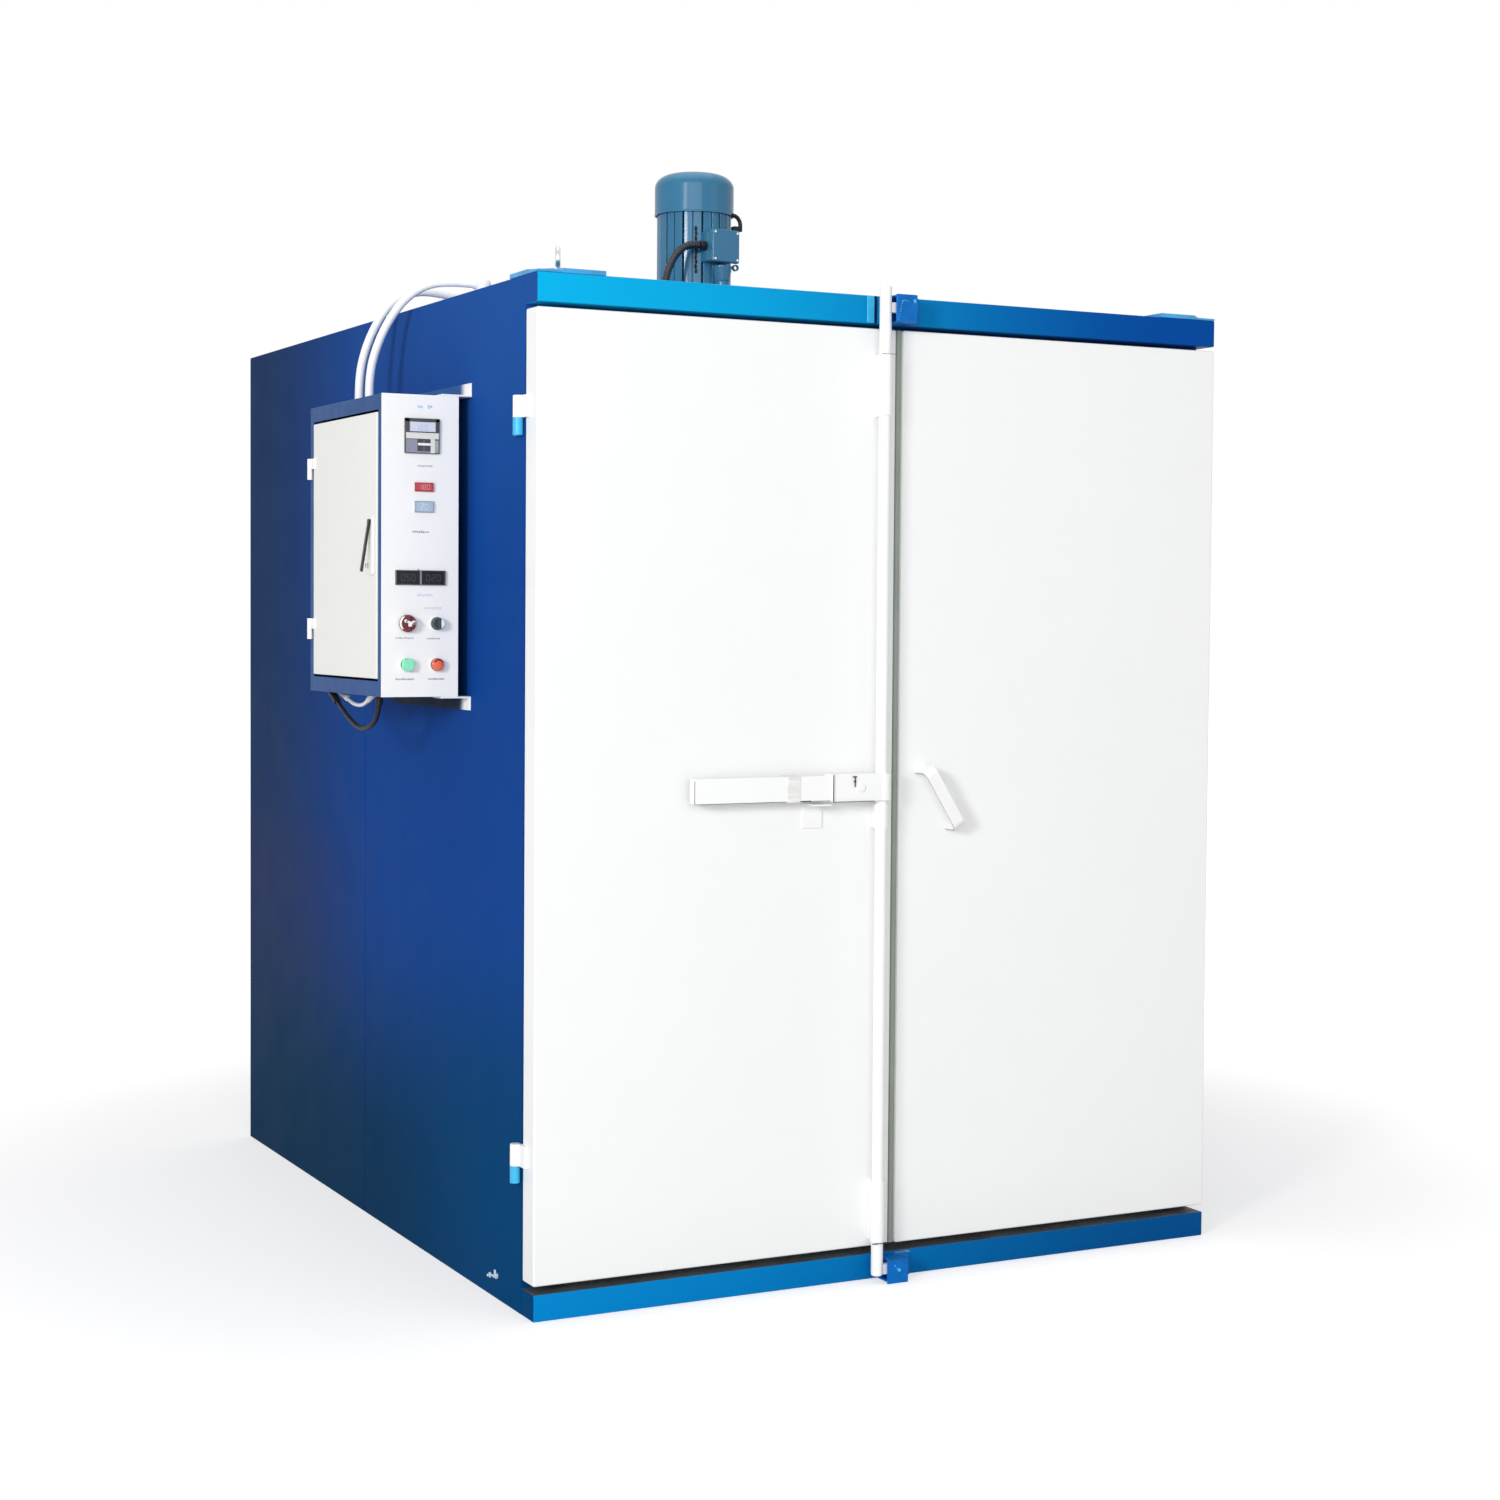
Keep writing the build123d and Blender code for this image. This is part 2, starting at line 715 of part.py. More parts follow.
# Instrument panel and what is set into it
panel_y = (box_y[0], panel_back)


def on_panel(place):
    """Panel coordinates (from its lower left corner) to X and Z."""
    return box_x[0] + place[0], box_z[0] + place[1]


def instrument(place, width, height):
    """Bezel on the panel with a body behind it."""
    x, z = on_panel(place)
    bezel_y = (box_y[0] - bezel_depth, box_y[0])
    bezel = block((x - width / 2, x + width / 2), bezel_y, (z - height / 2, z + height / 2))
    half_w = width / 2 - instrument_body_margin
    half_h = height / 2 - instrument_body_margin
    body_y = (box_y[0], box_y[0] + instrument_body_depth)
    return bezel + block((x - half_w, x + half_w), body_y, (z - half_h, z + half_h))


def instrument_hole(place, width, height):
    x, z = on_panel(place)
    half_w = width / 2 - instrument_body_margin + cutout_clearance
    half_h = height / 2 - instrument_body_margin + cutout_clearance
    return block((x - half_w, x + half_w), panel_y, (z - half_h, z + half_h))


instruments = {
    "temperature_controller": (controller_centre, controller_width, controller_height),
    "red_display": (red_display_centre, display_width, red_display_height),
    "blue_display": (blue_display_centre, display_width, blue_display_height),
    "twin_counter": (counter_centre, counter_width, counter_height),
}
panel = block(box_x, panel_y, box_z)
for name, values in instruments.items():
    keep_node(name, instrument(*values))
    panel -= instrument_hole(*values)


def panel_rod(radius, place, y_low, y_high):
    x, z = on_panel(place)
    return rod(radius, (x, y_low, z), (x, y_high, z))


knob_places = {
    "left_knob": (left_column, knob_row_height),
    "right_knob": (right_column, knob_row_height),
}
button_places = {
    "green_button": (left_column, button_row_height),
    "orange_button": (right_column, button_row_height),
}
collar_front = box_y[0] - collar_depth
barrel_end = box_y[0] + collar_barrel_depth
collars = []
for name, place in {**knob_places, **button_places}.items():
    collar = panel_rod(collar_radius, place, collar_front, box_y[0])
    collar += panel_rod(collar_barrel_radius, place, box_y[0], barrel_end)
    if name in knob_places:
        collar -= panel_rod(knob_stem_radius + stem_clearance, place, collar_front,
                            collar_front + knob_stem_length + knob_stem_room)
    else:
        collar -= panel_rod(button_radius + button_clearance, place, collar_front,
                            collar_front + button_depth + button_travel)
    collars.append(collar)
    panel -= panel_rod(collar_barrel_radius + cutout_clearance, place, *panel_y)
keep_node("control_collars", *collars)
keep_node("instrument_panel", panel)

knob_face = collar_front - knob_clearance
for name, radius in (("left_knob", left_knob_radius), ("right_knob", right_knob_radius)):
    place = knob_places[name]
    knob = panel_rod(radius, place, knob_face - knob_depth, knob_face)
    knob += panel_rod(knob_stem_radius, place, knob_face, collar_front + knob_stem_length)
    keep_node(name, knob)

for name, place in button_places.items():
    head_back = collar_front - button_travel - button_proud
    button = panel_rod(button_head_radius, place, head_back - button_head_depth, head_back)
    button += panel_rod(button_radius, place, head_back, head_back + button_depth)
    keep_node(name, button)

# Conduits and cables, as routes of straight runs and tangent arcs


def from_point(base, offsets):
    """Route points given as offsets from the corner that the cord hangs on."""
    return [tuple(origin + offset for origin, offset in zip(base, step)) for step in offsets]


def cord_radii(points):
    """Each arc is as large as its two runs allow."""
    radii = []
    vectors = [Vector(*point) for point in points]
    for before, corner, after in zip(vectors, vectors[1:], vectors[2:]):
        run_in = corner - before
        run_out = after - corner
        half_turn = radians(run_in.get_angle(run_out)) / 2
        radii.append(arc_share * min(run_in.length, run_out.length) / tan(half_turn))
    return radii


def cord_tube(name, points, diameter):
    radii = cord_radii(points)
    path = FilletPolyline(*points, radius=radii)
    start = Plane(origin=path @ 0, z_dir=path % 0)
    tube = sweep(start * Circle(diameter / 2), path)
    print(name, "length", round(path.length), "radii", [round(radius) for radius in radii])
    print(name, "volume ratio", round(tube.volume / (pi * diameter ** 2 / 4 * path.length), 4))
    keep_node(name, tube)


rear_conduit_route = from_point((left, front, oven_height), [
    (-105, 840, -212), (-105, 840, -160), (-91, 840.5, -96), (-66, 841.5, -38),
    (-31, 842.5, 16), (24, 842.5, 49), (85, 840.5, 52), (140, 838.5, 41),
])
front_conduit_route = from_point((left, front, oven_height), [
    (-105, 766, -212), (-105, 766, -160), (-89, 764.5, -96), (-64, 759.5, -38),
    (-31, 742.5, 16), (9, 705.5, 50), (55, 657.5, 55), (96, 615.5, 47),
])
motor_hose_route = from_point((0, 0, oven_height), [
    (-150, -135, 22), (-150, -135, 62), (-148, -134, 106), (-140, -131, 148),
    (-122, -127, 188), (-96, -124, 218), (-67.7, -121.6, 230), (-42, -118, 230),
])
black_cable_route = from_point((left, front, box_bottom), [
    (-170, 503.5, -22), (-171, 505.5, -38), (-171, 518.5, -55), (-172, 545.5, -69),
    (-172, 581.5, -77), (-173, 621.5, -79), (-173, 665.5, -71), (-173, 711.5, -56),
    (-172, 754.5, -40), (-171, 793.5, -24),
])
white_cable_route = from_point((left, front, box_bottom), [
    (-150, 633.5, -15), (-150, 659.5, -25), (-150, 689.5, -29), (-150, 723.5, -29),
    (-150, 757.5, -24), (-150, 785.5, -16),
])


def gland(x, y, z, side):
    """Gland with a hexagon nut on a horizontal plate, above it (1) or below it (-1)."""
    nut_low = min(z, z + side * gland_nut_height)
    nut = Pos(x, y, nut_low) * extrude(RegularPolygon(gland_radius, 6), gland_nut_height)
    end = z + side * gland_height
    return nut + rod(conduit_diameter / 2 + gland_wall, (x, y, z), (x, y, end))


def elbow(route):
    """Roof elbow whose mouth faces the conduit's end."""
    mouth = Vector(*route[-1])
    along = (mouth - Vector(*route[-2])).normalized()
    heel = mouth + along * elbow_neck
    neck = rod(conduit_diameter / 2 + gland_wall, tuple(mouth), tuple(heel))
    stem = rod(elbow_radius, (heel.X, heel.Y, oven_height), (heel.X, heel.Y, heel.Z))
    return neck + stem + Pos(heel.X, heel.Y, heel.Z) * Sphere(elbow_radius)


def boot(start, inward, diameter):
    """Rubber boot from a cable's end up to the underside of the box."""
    mouth = Vector(*start)
    along = (mouth - Vector(*inward)).normalized()
    reach = 2 * (box_z[0] - mouth.Z) / along.Z
    sleeve = rod(diameter / 2 + boot_wall, tuple(mouth), tuple(mouth + along * reach))
    above = block(box_x, box_y, (box_z[0], box_z[0] + box_height))
    return sleeve - above


def side_gland(route):
    """Gland between the terminal box's side and the hose's end."""
    mouth = Vector(*route[-1])
    along = (mouth - Vector(*route[-2])).normalized()
    stub = rod(hose_diameter / 2 + gland_wall, tuple(mouth), tuple(mouth + along * gland_height))
    return stub - terminal_solid


def two_boots(route, diameter):
    """The boots at both ends of a cable under the box."""
    return boot(route[0], route[1], diameter), boot(route[-1], route[-2], diameter)


conduit_routes = (rear_conduit_route, front_conduit_route)
conduit_glands = [gland(*route[0][:2], box_z[1], 1) for route in conduit_routes]
keep_node("conduit_fittings", *conduit_glands, *[elbow(route) for route in conduit_routes])
keep_node("hose_glands", gland(*motor_hose_route[0][:2], oven_height, 1), side_gland(motor_hose_route))
black_boots = two_boots(black_cable_route, cable_diameter)
white_boots = two_boots(white_cable_route, white_cable_diameter)
keep_node("cable_boots", *black_boots, *white_boots)
cord_tube("rear_conduit", rear_conduit_route, conduit_diameter)
cord_tube("front_conduit", front_conduit_route, conduit_diameter)
cord_tube("motor_hose", motor_hose_route, hose_diameter)
cord_tube("black_cable", black_cable_route, cable_diameter)
cord_tube("white_cable", white_cable_route, white_cable_diameter)
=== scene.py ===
# %% [markdown]
# # A batch curing oven, dressed over its CAD frame
# The oven is an insulated steel cabinet with two white doors, a locking bar, a fan
# motor on the roof and a control box on its left wall. The CAD model already gives
# every main shape at its true place, so this lesson adds what Blender is good at:
# rounded sheet edges, small fittings, and paint, zinc, plastic and rubber finishes.
# Everything is in metres, and the origin is the middle of the footprint on the floor.

# %% Load the frame
import bmesh
import bpy
from math import cos, pi, radians, sin
from random import Random
from mathutils import Matrix, Vector


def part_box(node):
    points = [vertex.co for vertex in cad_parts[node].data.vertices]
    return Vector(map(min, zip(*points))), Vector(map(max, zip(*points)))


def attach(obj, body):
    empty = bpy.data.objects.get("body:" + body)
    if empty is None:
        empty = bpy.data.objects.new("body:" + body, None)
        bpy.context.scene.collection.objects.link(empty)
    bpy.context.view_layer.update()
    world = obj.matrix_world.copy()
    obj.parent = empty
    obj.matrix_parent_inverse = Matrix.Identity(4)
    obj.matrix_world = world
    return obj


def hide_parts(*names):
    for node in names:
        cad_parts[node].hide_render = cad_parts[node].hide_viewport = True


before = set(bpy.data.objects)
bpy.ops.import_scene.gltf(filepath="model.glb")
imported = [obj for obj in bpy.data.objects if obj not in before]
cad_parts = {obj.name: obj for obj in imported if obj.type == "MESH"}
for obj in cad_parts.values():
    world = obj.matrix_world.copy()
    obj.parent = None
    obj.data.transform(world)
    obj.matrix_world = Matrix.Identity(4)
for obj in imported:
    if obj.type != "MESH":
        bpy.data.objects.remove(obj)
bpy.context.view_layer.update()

# %% [markdown]
# ## The camera
# A camera could be placed by eye, but then nothing else could be trusted. This one
# was fitted to the seven corners of the cabinet, which gives where it stood, its
# heading, its small tilt and roll, and the length of its lens. Its three axes are
# worked out from those angles and written straight into its matrix.

# %% Place the camera
def add_object(name, data):
    """Put a mesh, curve, lamp or camera in the scene."""
    thing = bpy.data.objects.new(name, data)
    bpy.context.scene.collection.objects.link(thing)
    return thing


photo_px, lens_px, middle_px = 1500, 2539.28, (768.13, 709.80)
camera_place = Vector((-2.8838, -5.9686, 1.4944))
heading, pitch, roll = radians(27.53), radians(2.17), radians(0.44)
forward = Vector((sin(heading) * cos(pitch), cos(heading) * cos(pitch), -sin(pitch)))
level = Vector((cos(heading), -sin(heading), 0))
upright = level.cross(forward)
right = level * cos(roll) + upright * sin(roll)
up = upright * cos(roll) - level * sin(roll)
camera = add_object("view", bpy.data.cameras.new("view"))
axes = Matrix((right, up, -forward)).transposed()
camera.matrix_world = Matrix.Translation(camera_place) @ axes.to_4x4()
camera.data.sensor_width = 36
camera.data.lens = camera.data.sensor_width * lens_px / photo_px
camera.data.shift_x = (photo_px / 2 - middle_px[0]) / photo_px
camera.data.shift_y = (middle_px[1] - photo_px / 2) / photo_px
camera.data.clip_end = 60
bpy.context.scene.camera = camera
print("lens", round(camera.data.lens, 2))

# %% [markdown]
# ## The finishes
# Real paint is never one flat colour. Each finish here mixes two near shades with a
# broad noise, varies its gloss with another, and has a fine bump, such as the orange
# peel of powder coat. A noise could be painted on an image, but a procedural one on
# Object coordinates needs no unwrapping and stays put when a door swings.

# %% Helpers that make a finish
def shade(colour, factor=1.0):
    return tuple(min(1.0, channel * factor) for channel in colour) + (1.0,)


def fill_inputs(tree, node, inputs):
    """Give each input of a node its value, or link it to the socket that is given."""
    for key, value in inputs.items():
        if isinstance(value, bpy.types.NodeSocket):
            tree.links.new(value, node.inputs[key])
        else:
            node.inputs[key].default_value = value


def add_node(tree, kind, inputs, output, **settings):
    """Add a shader node and return one of its outputs."""
    node = tree.nodes.new("ShaderNode" + kind)
    for name, value in settings.items():
        setattr(node, name, value)
    fill_inputs(tree, node, inputs)
    return node.outputs[output]


def add_noise(tree, place, scale, detail):
    return add_node(tree, "TexNoise", {"Vector": place, "Scale": scale, "Detail": detail}, "Fac")


def finish(name, colour, roughness, contrast, patch, metallic=0.0, grain=900.0, peel=0.00005,
           gloss_change=0.06, stretch=(1, 1, 1), coat=0.0, sheet_wave=0.0, specular=0.5):
    """A material with a broad colour drift, a varying gloss and a fine bump. contrast is
    how far its two shades lie apart, and a larger patch gives smaller clouds."""
    material = bpy.data.materials.new(name)
    material.use_nodes = True
    tree = material.node_tree
    place = add_node(tree, "TexCoord", {}, "Object")
    place = add_node(tree, "Mapping", {"Vector": place, "Scale": stretch}, "Vector")
    drift = add_node(tree, "ValToRGB", {"Fac": add_noise(tree, place, patch, 4)}, "Color")
    stops = drift.node.color_ramp.elements
    stops[0].position, stops[0].color = 0.3, shade(colour, 1 - contrast)
    stops[1].position, stops[1].color = 0.7, shade(colour, 1 + contrast)
    gloss = add_node(tree, "MapRange", {
        "Value": add_noise(tree, place, patch * 7, 6), "From Min": 0.3, "From Max": 0.7,
        "To Min": roughness - gloss_change, "To Max": roughness + gloss_change}, "Result")
    bumps = {"Strength": 0.6, "Distance": peel, "Height": add_noise(tree, place, grain, 2)}
    if sheet_wave:
        bumps["Normal"] = add_node(tree, "Bump", {
            "Strength": 1.0, "Distance": sheet_wave,
            "Height": add_noise(tree, place, 2.2, 1)}, "Normal")
    fill_inputs(tree, tree.nodes["Principled BSDF"], {
        "Metallic": metallic, "Specular IOR Level": specular, "Coat Weight": coat,
        "Coat Roughness": 0.14, "Base Color": drift, "Roughness": gloss,
        "Normal": add_node(tree, "Bump", bumps, "Normal")})
    return material


# %% [markdown]
# ## Painted light, and dust
# Colours are laid over the paint. Most are painted light: glare that fades along the
# header and sill, and sheen, reflections and shade on the walls and the box's brackets.
# Besides these, dust lies at the foot of the doors, and the box's rim darkens downwards.
# Each is a gradient on one axis of the Object coordinates, broken up by a noise so
# that no straight edge shows.

# %% Helpers that lay a second colour over a finish
def ramp_along(tree, place, axis, start, end, amount=1.0):
    """A smooth ramp on one axis, 0 at start and amount at end."""
    along = add_node(tree, "SeparateXYZ", {"Vector": place}, axis)
    return add_node(tree, "MapRange", {
        "Value": along, "From Min": start, "From Max": end, "To Max": amount}, "Result",
        interpolation_type="SMOOTHSTEP")


def lay_over(material, colour, axis, start, end, amount=1.0, breakup=0.25, scale=6.0, only=None):
    """Blend a colour in along one axis, from nothing at start to amount at end.
    only=(axis, start, end) fades it along a second axis too."""
    tree = material.node_tree
    base = tree.nodes["Principled BSDF"].inputs["Base Color"]
    place = add_node(tree, "TexCoord", {}, "Object")
    broken = add_node(tree, "Math", {
        0: add_noise(tree, place, scale, 5), 1: breakup,
        2: ramp_along(tree, place, axis, start, end, amount)}, "Value", operation="MULTIPLY_ADD")
    share = add_node(tree, "Math", {0: broken, 1: breakup / 2}, "Value",
                     operation="SUBTRACT", use_clamp=True)
    if only:
        share = add_node(tree, "Math", {0: share, 1: ramp_along(tree, place, *only)}, "Value",
                         operation="MULTIPLY")
    mixed = add_node(tree, "Mix", {
        "Factor": share, 6: base.links[0].from_socket, 7: shade(colour)}, 2, data_type="RGBA")
    tree.links.new(mixed, base)


# %% Paints of the cabinet: name, colour, roughness, contrast, patch
dark_blue = (0.006, 0.056, 0.275)
wall_paint = finish("wall_paint", dark_blue, 0.34, 0.04, 1.0, specular=0.003, sheet_wave=0.0006)
# Painted light on the walls: a lighter painted sheen high at the front, painted shade towards the
# rear, a purplish painted reflection low down towards the rear, and a dark teal painted
# reflection of the floor low down, lighter teal at the front.
for layer in (((0.016, 0.086, 0.340), "Z", 1.60, 2.20, 0.9, 0.06, 1.5, ("Y", 0.9, -0.7)),
              ((0.012, 0.036, 0.105), "Y", -0.1, 1.0, 0.95, 0.06, 1.5),
              ((0.028, 0.040, 0.125), "Z", 1.05, 0.78, 0.55, 0.10, 1.5, ("Y", -0.3, 0.9)),
              ((0.0008, 0.034, 0.084), "Z", 0.80, 0.15, 0.9, 0.08, 2.0),
              ((0.0006, 0.058, 0.180), "Z", 0.95, 0.15, 0.9, 0.06, 2.0, ("Y", 0.0, -0.9))):
    lay_over(wall_paint, *layer)
# The bright cyan of the header and sill, fading to a dark blue towards the right, is painted
# glare.
beam_paint = finish("beam_paint", (0.003, 0.410, 0.760), 0.36, 0.03, 3, specular=0.03)
lay_over(beam_paint, (0.0005, 0.064, 0.320), "X", -0.90, 0.75, breakup=0.04)
sill_paint_with_painted_glare = finish("sill_paint_with_painted_glare", (0.001, 0.222, 0.570), 0.36, 0.03, 3, specular=0.03)
lay_over(sill_paint_with_painted_glare, (0.001, 0.074, 0.260), "X", -0.90, 0.85, breakup=0.04)
keep_paint = finish("keep_paint", (0.0005, 0.135, 0.480), 0.22, 0.15, 40, grain=260,
                    peel=0.0004, specular=0.10)
pad_paint = finish("pad_paint", (0.040, 0.300, 0.600), 0.40, 0.20, 14)
roof_paint = finish("roof_paint", dark_blue, 0.36, 0.06, 1.5, specular=0.2)
door_paint = finish("door_paint", (0.87, 0.875, 0.875), 0.36, 0.010, 0.8, gloss_change=0.05,
                    sheet_wave=0.0004, specular=0.3)
lay_over(door_paint, (0.60, 0.585, 0.55), "Z", 0.26, 0.06, amount=0.08, breakup=0.08, scale=9)
bar_paint = finish("bar_paint", (0.88, 0.885, 0.885), 0.34, 0.012, 6, specular=0.3)
hinge_paint = finish("hinge_paint", (0.030, 0.420, 0.740), 0.38, 0.08, 30)
motor_paint = finish("motor_paint", (0.029, 0.169, 0.297), 0.40, 0.07, 9, grain=1400,
                     peel=0.00002, specular=0.10, coat=0.45)

# %% Paints of the control box, with painted shade under it and a painted reflection of the wall's blue on its brackets
box_white = (0.91, 0.905, 0.89)
panel_paint = finish("panel_paint", box_white, 0.38, 0.01, 3, specular=0.3)
bracket_white_with_painted_shade = finish("bracket_white_with_painted_shade", box_white, 0.50, 0.01, 3, specular=0.02)
# On the brackets: a painted reflection of the wall's blue on the upper ones towards the back, and
# a painted shadow of the box on the lower ones.
lay_over(bracket_white_with_painted_shade, (0.030, 0.115, 0.330), "Z", 2.004, 1.996, breakup=0.02,
         only=("Y", -0.655, -0.615))
lay_over(bracket_white_with_painted_shade, (0.010, 0.024, 0.055), "Z", 1.60, 1.40, breakup=0.02,
         only=("Y", -0.650, -0.605))
box_door_paint = finish("box_door_paint", (0.83, 0.83, 0.80), 0.42, 0.012, 3, specular=0.3)
box_paint = finish("box_paint", (0.022, 0.078, 0.245), 0.36, 0.05, 4, specular=0.04)
box_rim_paint = finish("box_rim_paint", (0.085, 0.220, 0.340), 0.40, 0.08, 6, specular=0.1)
lay_over(box_rim_paint, (0.080, 0.160, 0.300), "Z", 1.75, 1.35, amount=0.9, breakup=0.1)

# %% Metals and rubber
lining_steel = finish("lining_steel", (0.55, 0.56, 0.57), 0.42, 0.07, 5, metallic=1.0,
                      stretch=(1, 1, 0.3), gloss_change=0.1)
zinc = finish("zinc", (0.66, 0.66, 0.65), 0.28, 0.12, 60, metallic=1.0, gloss_change=0.12)
dull_steel = finish("dull_steel", (0.72, 0.72, 0.71), 0.45, 0.10, 25, metallic=0.2,
                    stretch=(1, 1, 6))
pale_steel = finish("pale_steel", (0.55, 0.68, 0.80), 0.35, 0.10, 60, metallic=0.3)
worn_steel = finish("worn_steel", (0.060, 0.070, 0.074), 0.60, 0.35, 12, gloss_change=0.12)
worn_grey = finish("worn_grey", (0.270, 0.250, 0.215), 0.70, 0.35, 90, gloss_change=0.15,
                   grain=500, peel=0.0003)
gasket_rubber = finish("gasket_rubber", (0.290, 0.335, 0.290), 0.62, 0.06, 8)
black_rubber = finish("black_rubber", (0.010, 0.010, 0.011), 0.55, 0.2, 20, peel=0.0001,
                      specular=0.25)
hose_black = finish("hose_black", (0.010, 0.016, 0.026), 0.42, 0.2, 20)

# %% Plastics, windows, inks and shadow lines
white_plastic = finish("white_plastic", (0.88, 0.885, 0.89), 0.40, 0.02, 12)
black_plastic = finish("black_plastic", (0.018, 0.018, 0.020), 0.34, 0.15, 30, peel=0.0001)
dark_moulding = finish("dark_moulding", (0.060, 0.060, 0.066), 0.36, 0.1, 40)
red_moulding = finish("red_moulding", (0.150, 0.010, 0.018), 0.28, 0.08, 50)
ivory = finish("ivory", (0.74, 0.72, 0.67), 0.45, 0.03, 30)
lavender = finish("lavender", (0.27, 0.27, 0.36), 0.30, 0.05, 30)
pale_lavender = finish("pale_lavender", (0.66, 0.69, 0.80), 0.25, 0.04, 40)
pale_green = finish("pale_green", (0.36, 0.42, 0.40), 0.25, 0.10, 60)
dark_green = finish("dark_green", (0.020, 0.045, 0.048), 0.30, 0.08, 50)
dark_red = finish("dark_red", (0.250, 0.012, 0.010), 0.28, 0.10, 60)
green_lens = finish("green_lens", (0.240, 0.800, 0.500), 0.22, 0.08, 70)
orange_lens = finish("orange_lens", (0.760, 0.150, 0.070), 0.22, 0.15, 70)
black_window = finish("black_window", (0.022, 0.024, 0.026), 0.30, 0.12, 30, specular=0.15)
red_window = finish("red_window", (0.560, 0.060, 0.065), 0.18, 0.06, 30)
blue_window = finish("blue_window", (0.420, 0.530, 0.640), 0.18, 0.05, 30)
pale_digit = finish("pale_digit", (0.70, 0.34, 0.34), 0.4, 0.02, 30)
slate_digit = finish("slate_digit", (0.240, 0.330, 0.450), 0.4, 0.02, 30)
dim_digit = finish("dim_digit", (0.050, 0.048, 0.052), 0.4, 0.02, 30)
ink_and_painted_shade = finish("ink_and_painted_shade", (0.300, 0.315, 0.370), 0.5, 0.15, 60)
label_blue = finish("label_blue", (0.400, 0.500, 0.800), 0.5, 0.10, 60)
label_faint = finish("label_faint", (0.640, 0.680, 0.780), 0.5, 0.05, 60)
handle_side_painted_shade = finish("handle_side_painted_shade", (0.400, 0.400, 0.390), 0.45, 0.08, 30)
painted_shade_blue = finish("painted_shade_blue", (0.003, 0.012, 0.045), 0.5, 0.2, 20, specular=0.1)
painted_shadow_grey = finish("painted_shadow_grey", (0.070, 0.075, 0.075), 0.6, 0.3, 25, specular=0.1)
print("finishes", len(bpy.data.materials))

# %% [markdown]
# ## Turning a bmesh into a finished piece
# A bmesh is a mesh in the making. The helper below closes it: normals outwards, faces
# shaded smooth except across real edges, one material, and a body to ride on, so that
# the piece follows its door, lever or knob. A Weighted Normal modifier then lets the
# large faces set the shading, so that they stay flat beside a rounded edge.

# %% Piece helpers
def piece_from(bm, name, body, material, slot=None, replaces=(), sharp=32, outward=True,
               edge=0.0, turn=None):
    """Write a bmesh to an object that rides on a CAD body. edge rounds its corners."""
    if turn is not None:
        bmesh.ops.rotate(bm, cent=(0, 0, 0), matrix=turn, verts=bm.verts)
    if outward:
        bmesh.ops.recalc_face_normals(bm, faces=bm.faces)
    mesh = bpy.data.meshes.new(name)
    bm.to_mesh(mesh)
    bm.free()
    mesh.shade_smooth()
    mesh.set_sharp_from_angle(angle=radians(sharp))
    mesh.materials.append(material)
    piece = add_object(name, mesh)
    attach(piece, body)
    if replaces:
        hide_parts(*replaces)
    if edge:
        rounding = piece.modifiers.new("edges", "BEVEL")
        rounding.width, rounding.segments = edge, 2
        rounding.limit_method, rounding.angle_limit = "ANGLE", radians(40)
    piece.modifiers.new("flat_faces", "WEIGHTED_NORMAL").keep_sharp = True
    return piece


def second_finish(piece, material, chosen):
    """Give the faces for which chosen(face) is true another finish."""
    piece.data.materials.append(material)
    for face in piece.data.polygons:
        if chosen(face):
            face.material_index = len(piece.data.materials) - 1


def bevel_edges(bm, edges, width, segments=2):
    return bmesh.ops.bevel(bm, geom=edges, offset=width, segments=segments, profile=0.5,
                           affect="EDGES", material=-1)["verts"]


def edges_of(verts):
    return list({edge for vert in verts for edge in vert.link_edges})


def add_slab(bm, low, high, bevel=0.0, segments=2):
    """A box between two corners, with rounded edges."""
    low, high = Vector(low), Vector(high)
    made = bmesh.ops.create_cube(bm, size=1)["verts"]
    bmesh.ops.scale(bm, vec=high - low, verts=made)
    bmesh.ops.translate(bm, vec=(low + high) / 2, verts=made)
    return bevel_edges(bm, edges_of(made), bevel, segments) if bevel else made


def piece_of(add, name, body, material, slot, *parts, **more):
    """One piece of several parts. add is the helper that makes each of them."""
    bm = bmesh.new()
    for part in parts:
        add(bm, *part)
    return piece_from(bm, name, body, material, slot, **more)


def add_round(bm, start, end, radius, sides=32, bevel=0.0):
    """A round bar from one point to another, with its rims rounded."""
    start, end = Vector(start), Vector(end)
    along = end - start
    turn = Vector((0, 0, 1)).rotation_difference(along).to_matrix().to_4x4()
    place = Matrix.Translation((start + end) / 2) @ turn
    made = bmesh.ops.create_cone(bm, cap_ends=True, segments=sides, radius1=radius,
                                 radius2=radius, depth=along.length, matrix=place)["verts"]
    if bevel:
        bevel_edges(bm, [edge for edge in edges_of(made)
                         if any(len(face.verts) > 4 for face in edge.link_faces)], bevel)


def add_spun(bm, outline, centre=(0, 0, 0), axis=(0, 0, 1), steps=48):
    """Turn an outline of (radius, height) points round an axis, as on a lathe."""
    axis = Vector(axis).normalized()
    turn = Vector((0, 0, 1)).rotation_difference(axis).to_matrix()
    verts = [bm.verts.new(turn @ Vector((radius, 0, height)) + Vector(centre))
             for radius, height in outline]
    edges = [bm.edges.new(pair) for pair in zip(verts, verts[1:])]
    bmesh.ops.spin(bm, geom=verts + edges, cent=centre, axis=axis, angle=2 * pi, steps=steps,
                   use_merge=True)
    bmesh.ops.remove_doubles(bm, verts=bm.verts, dist=0.000005)


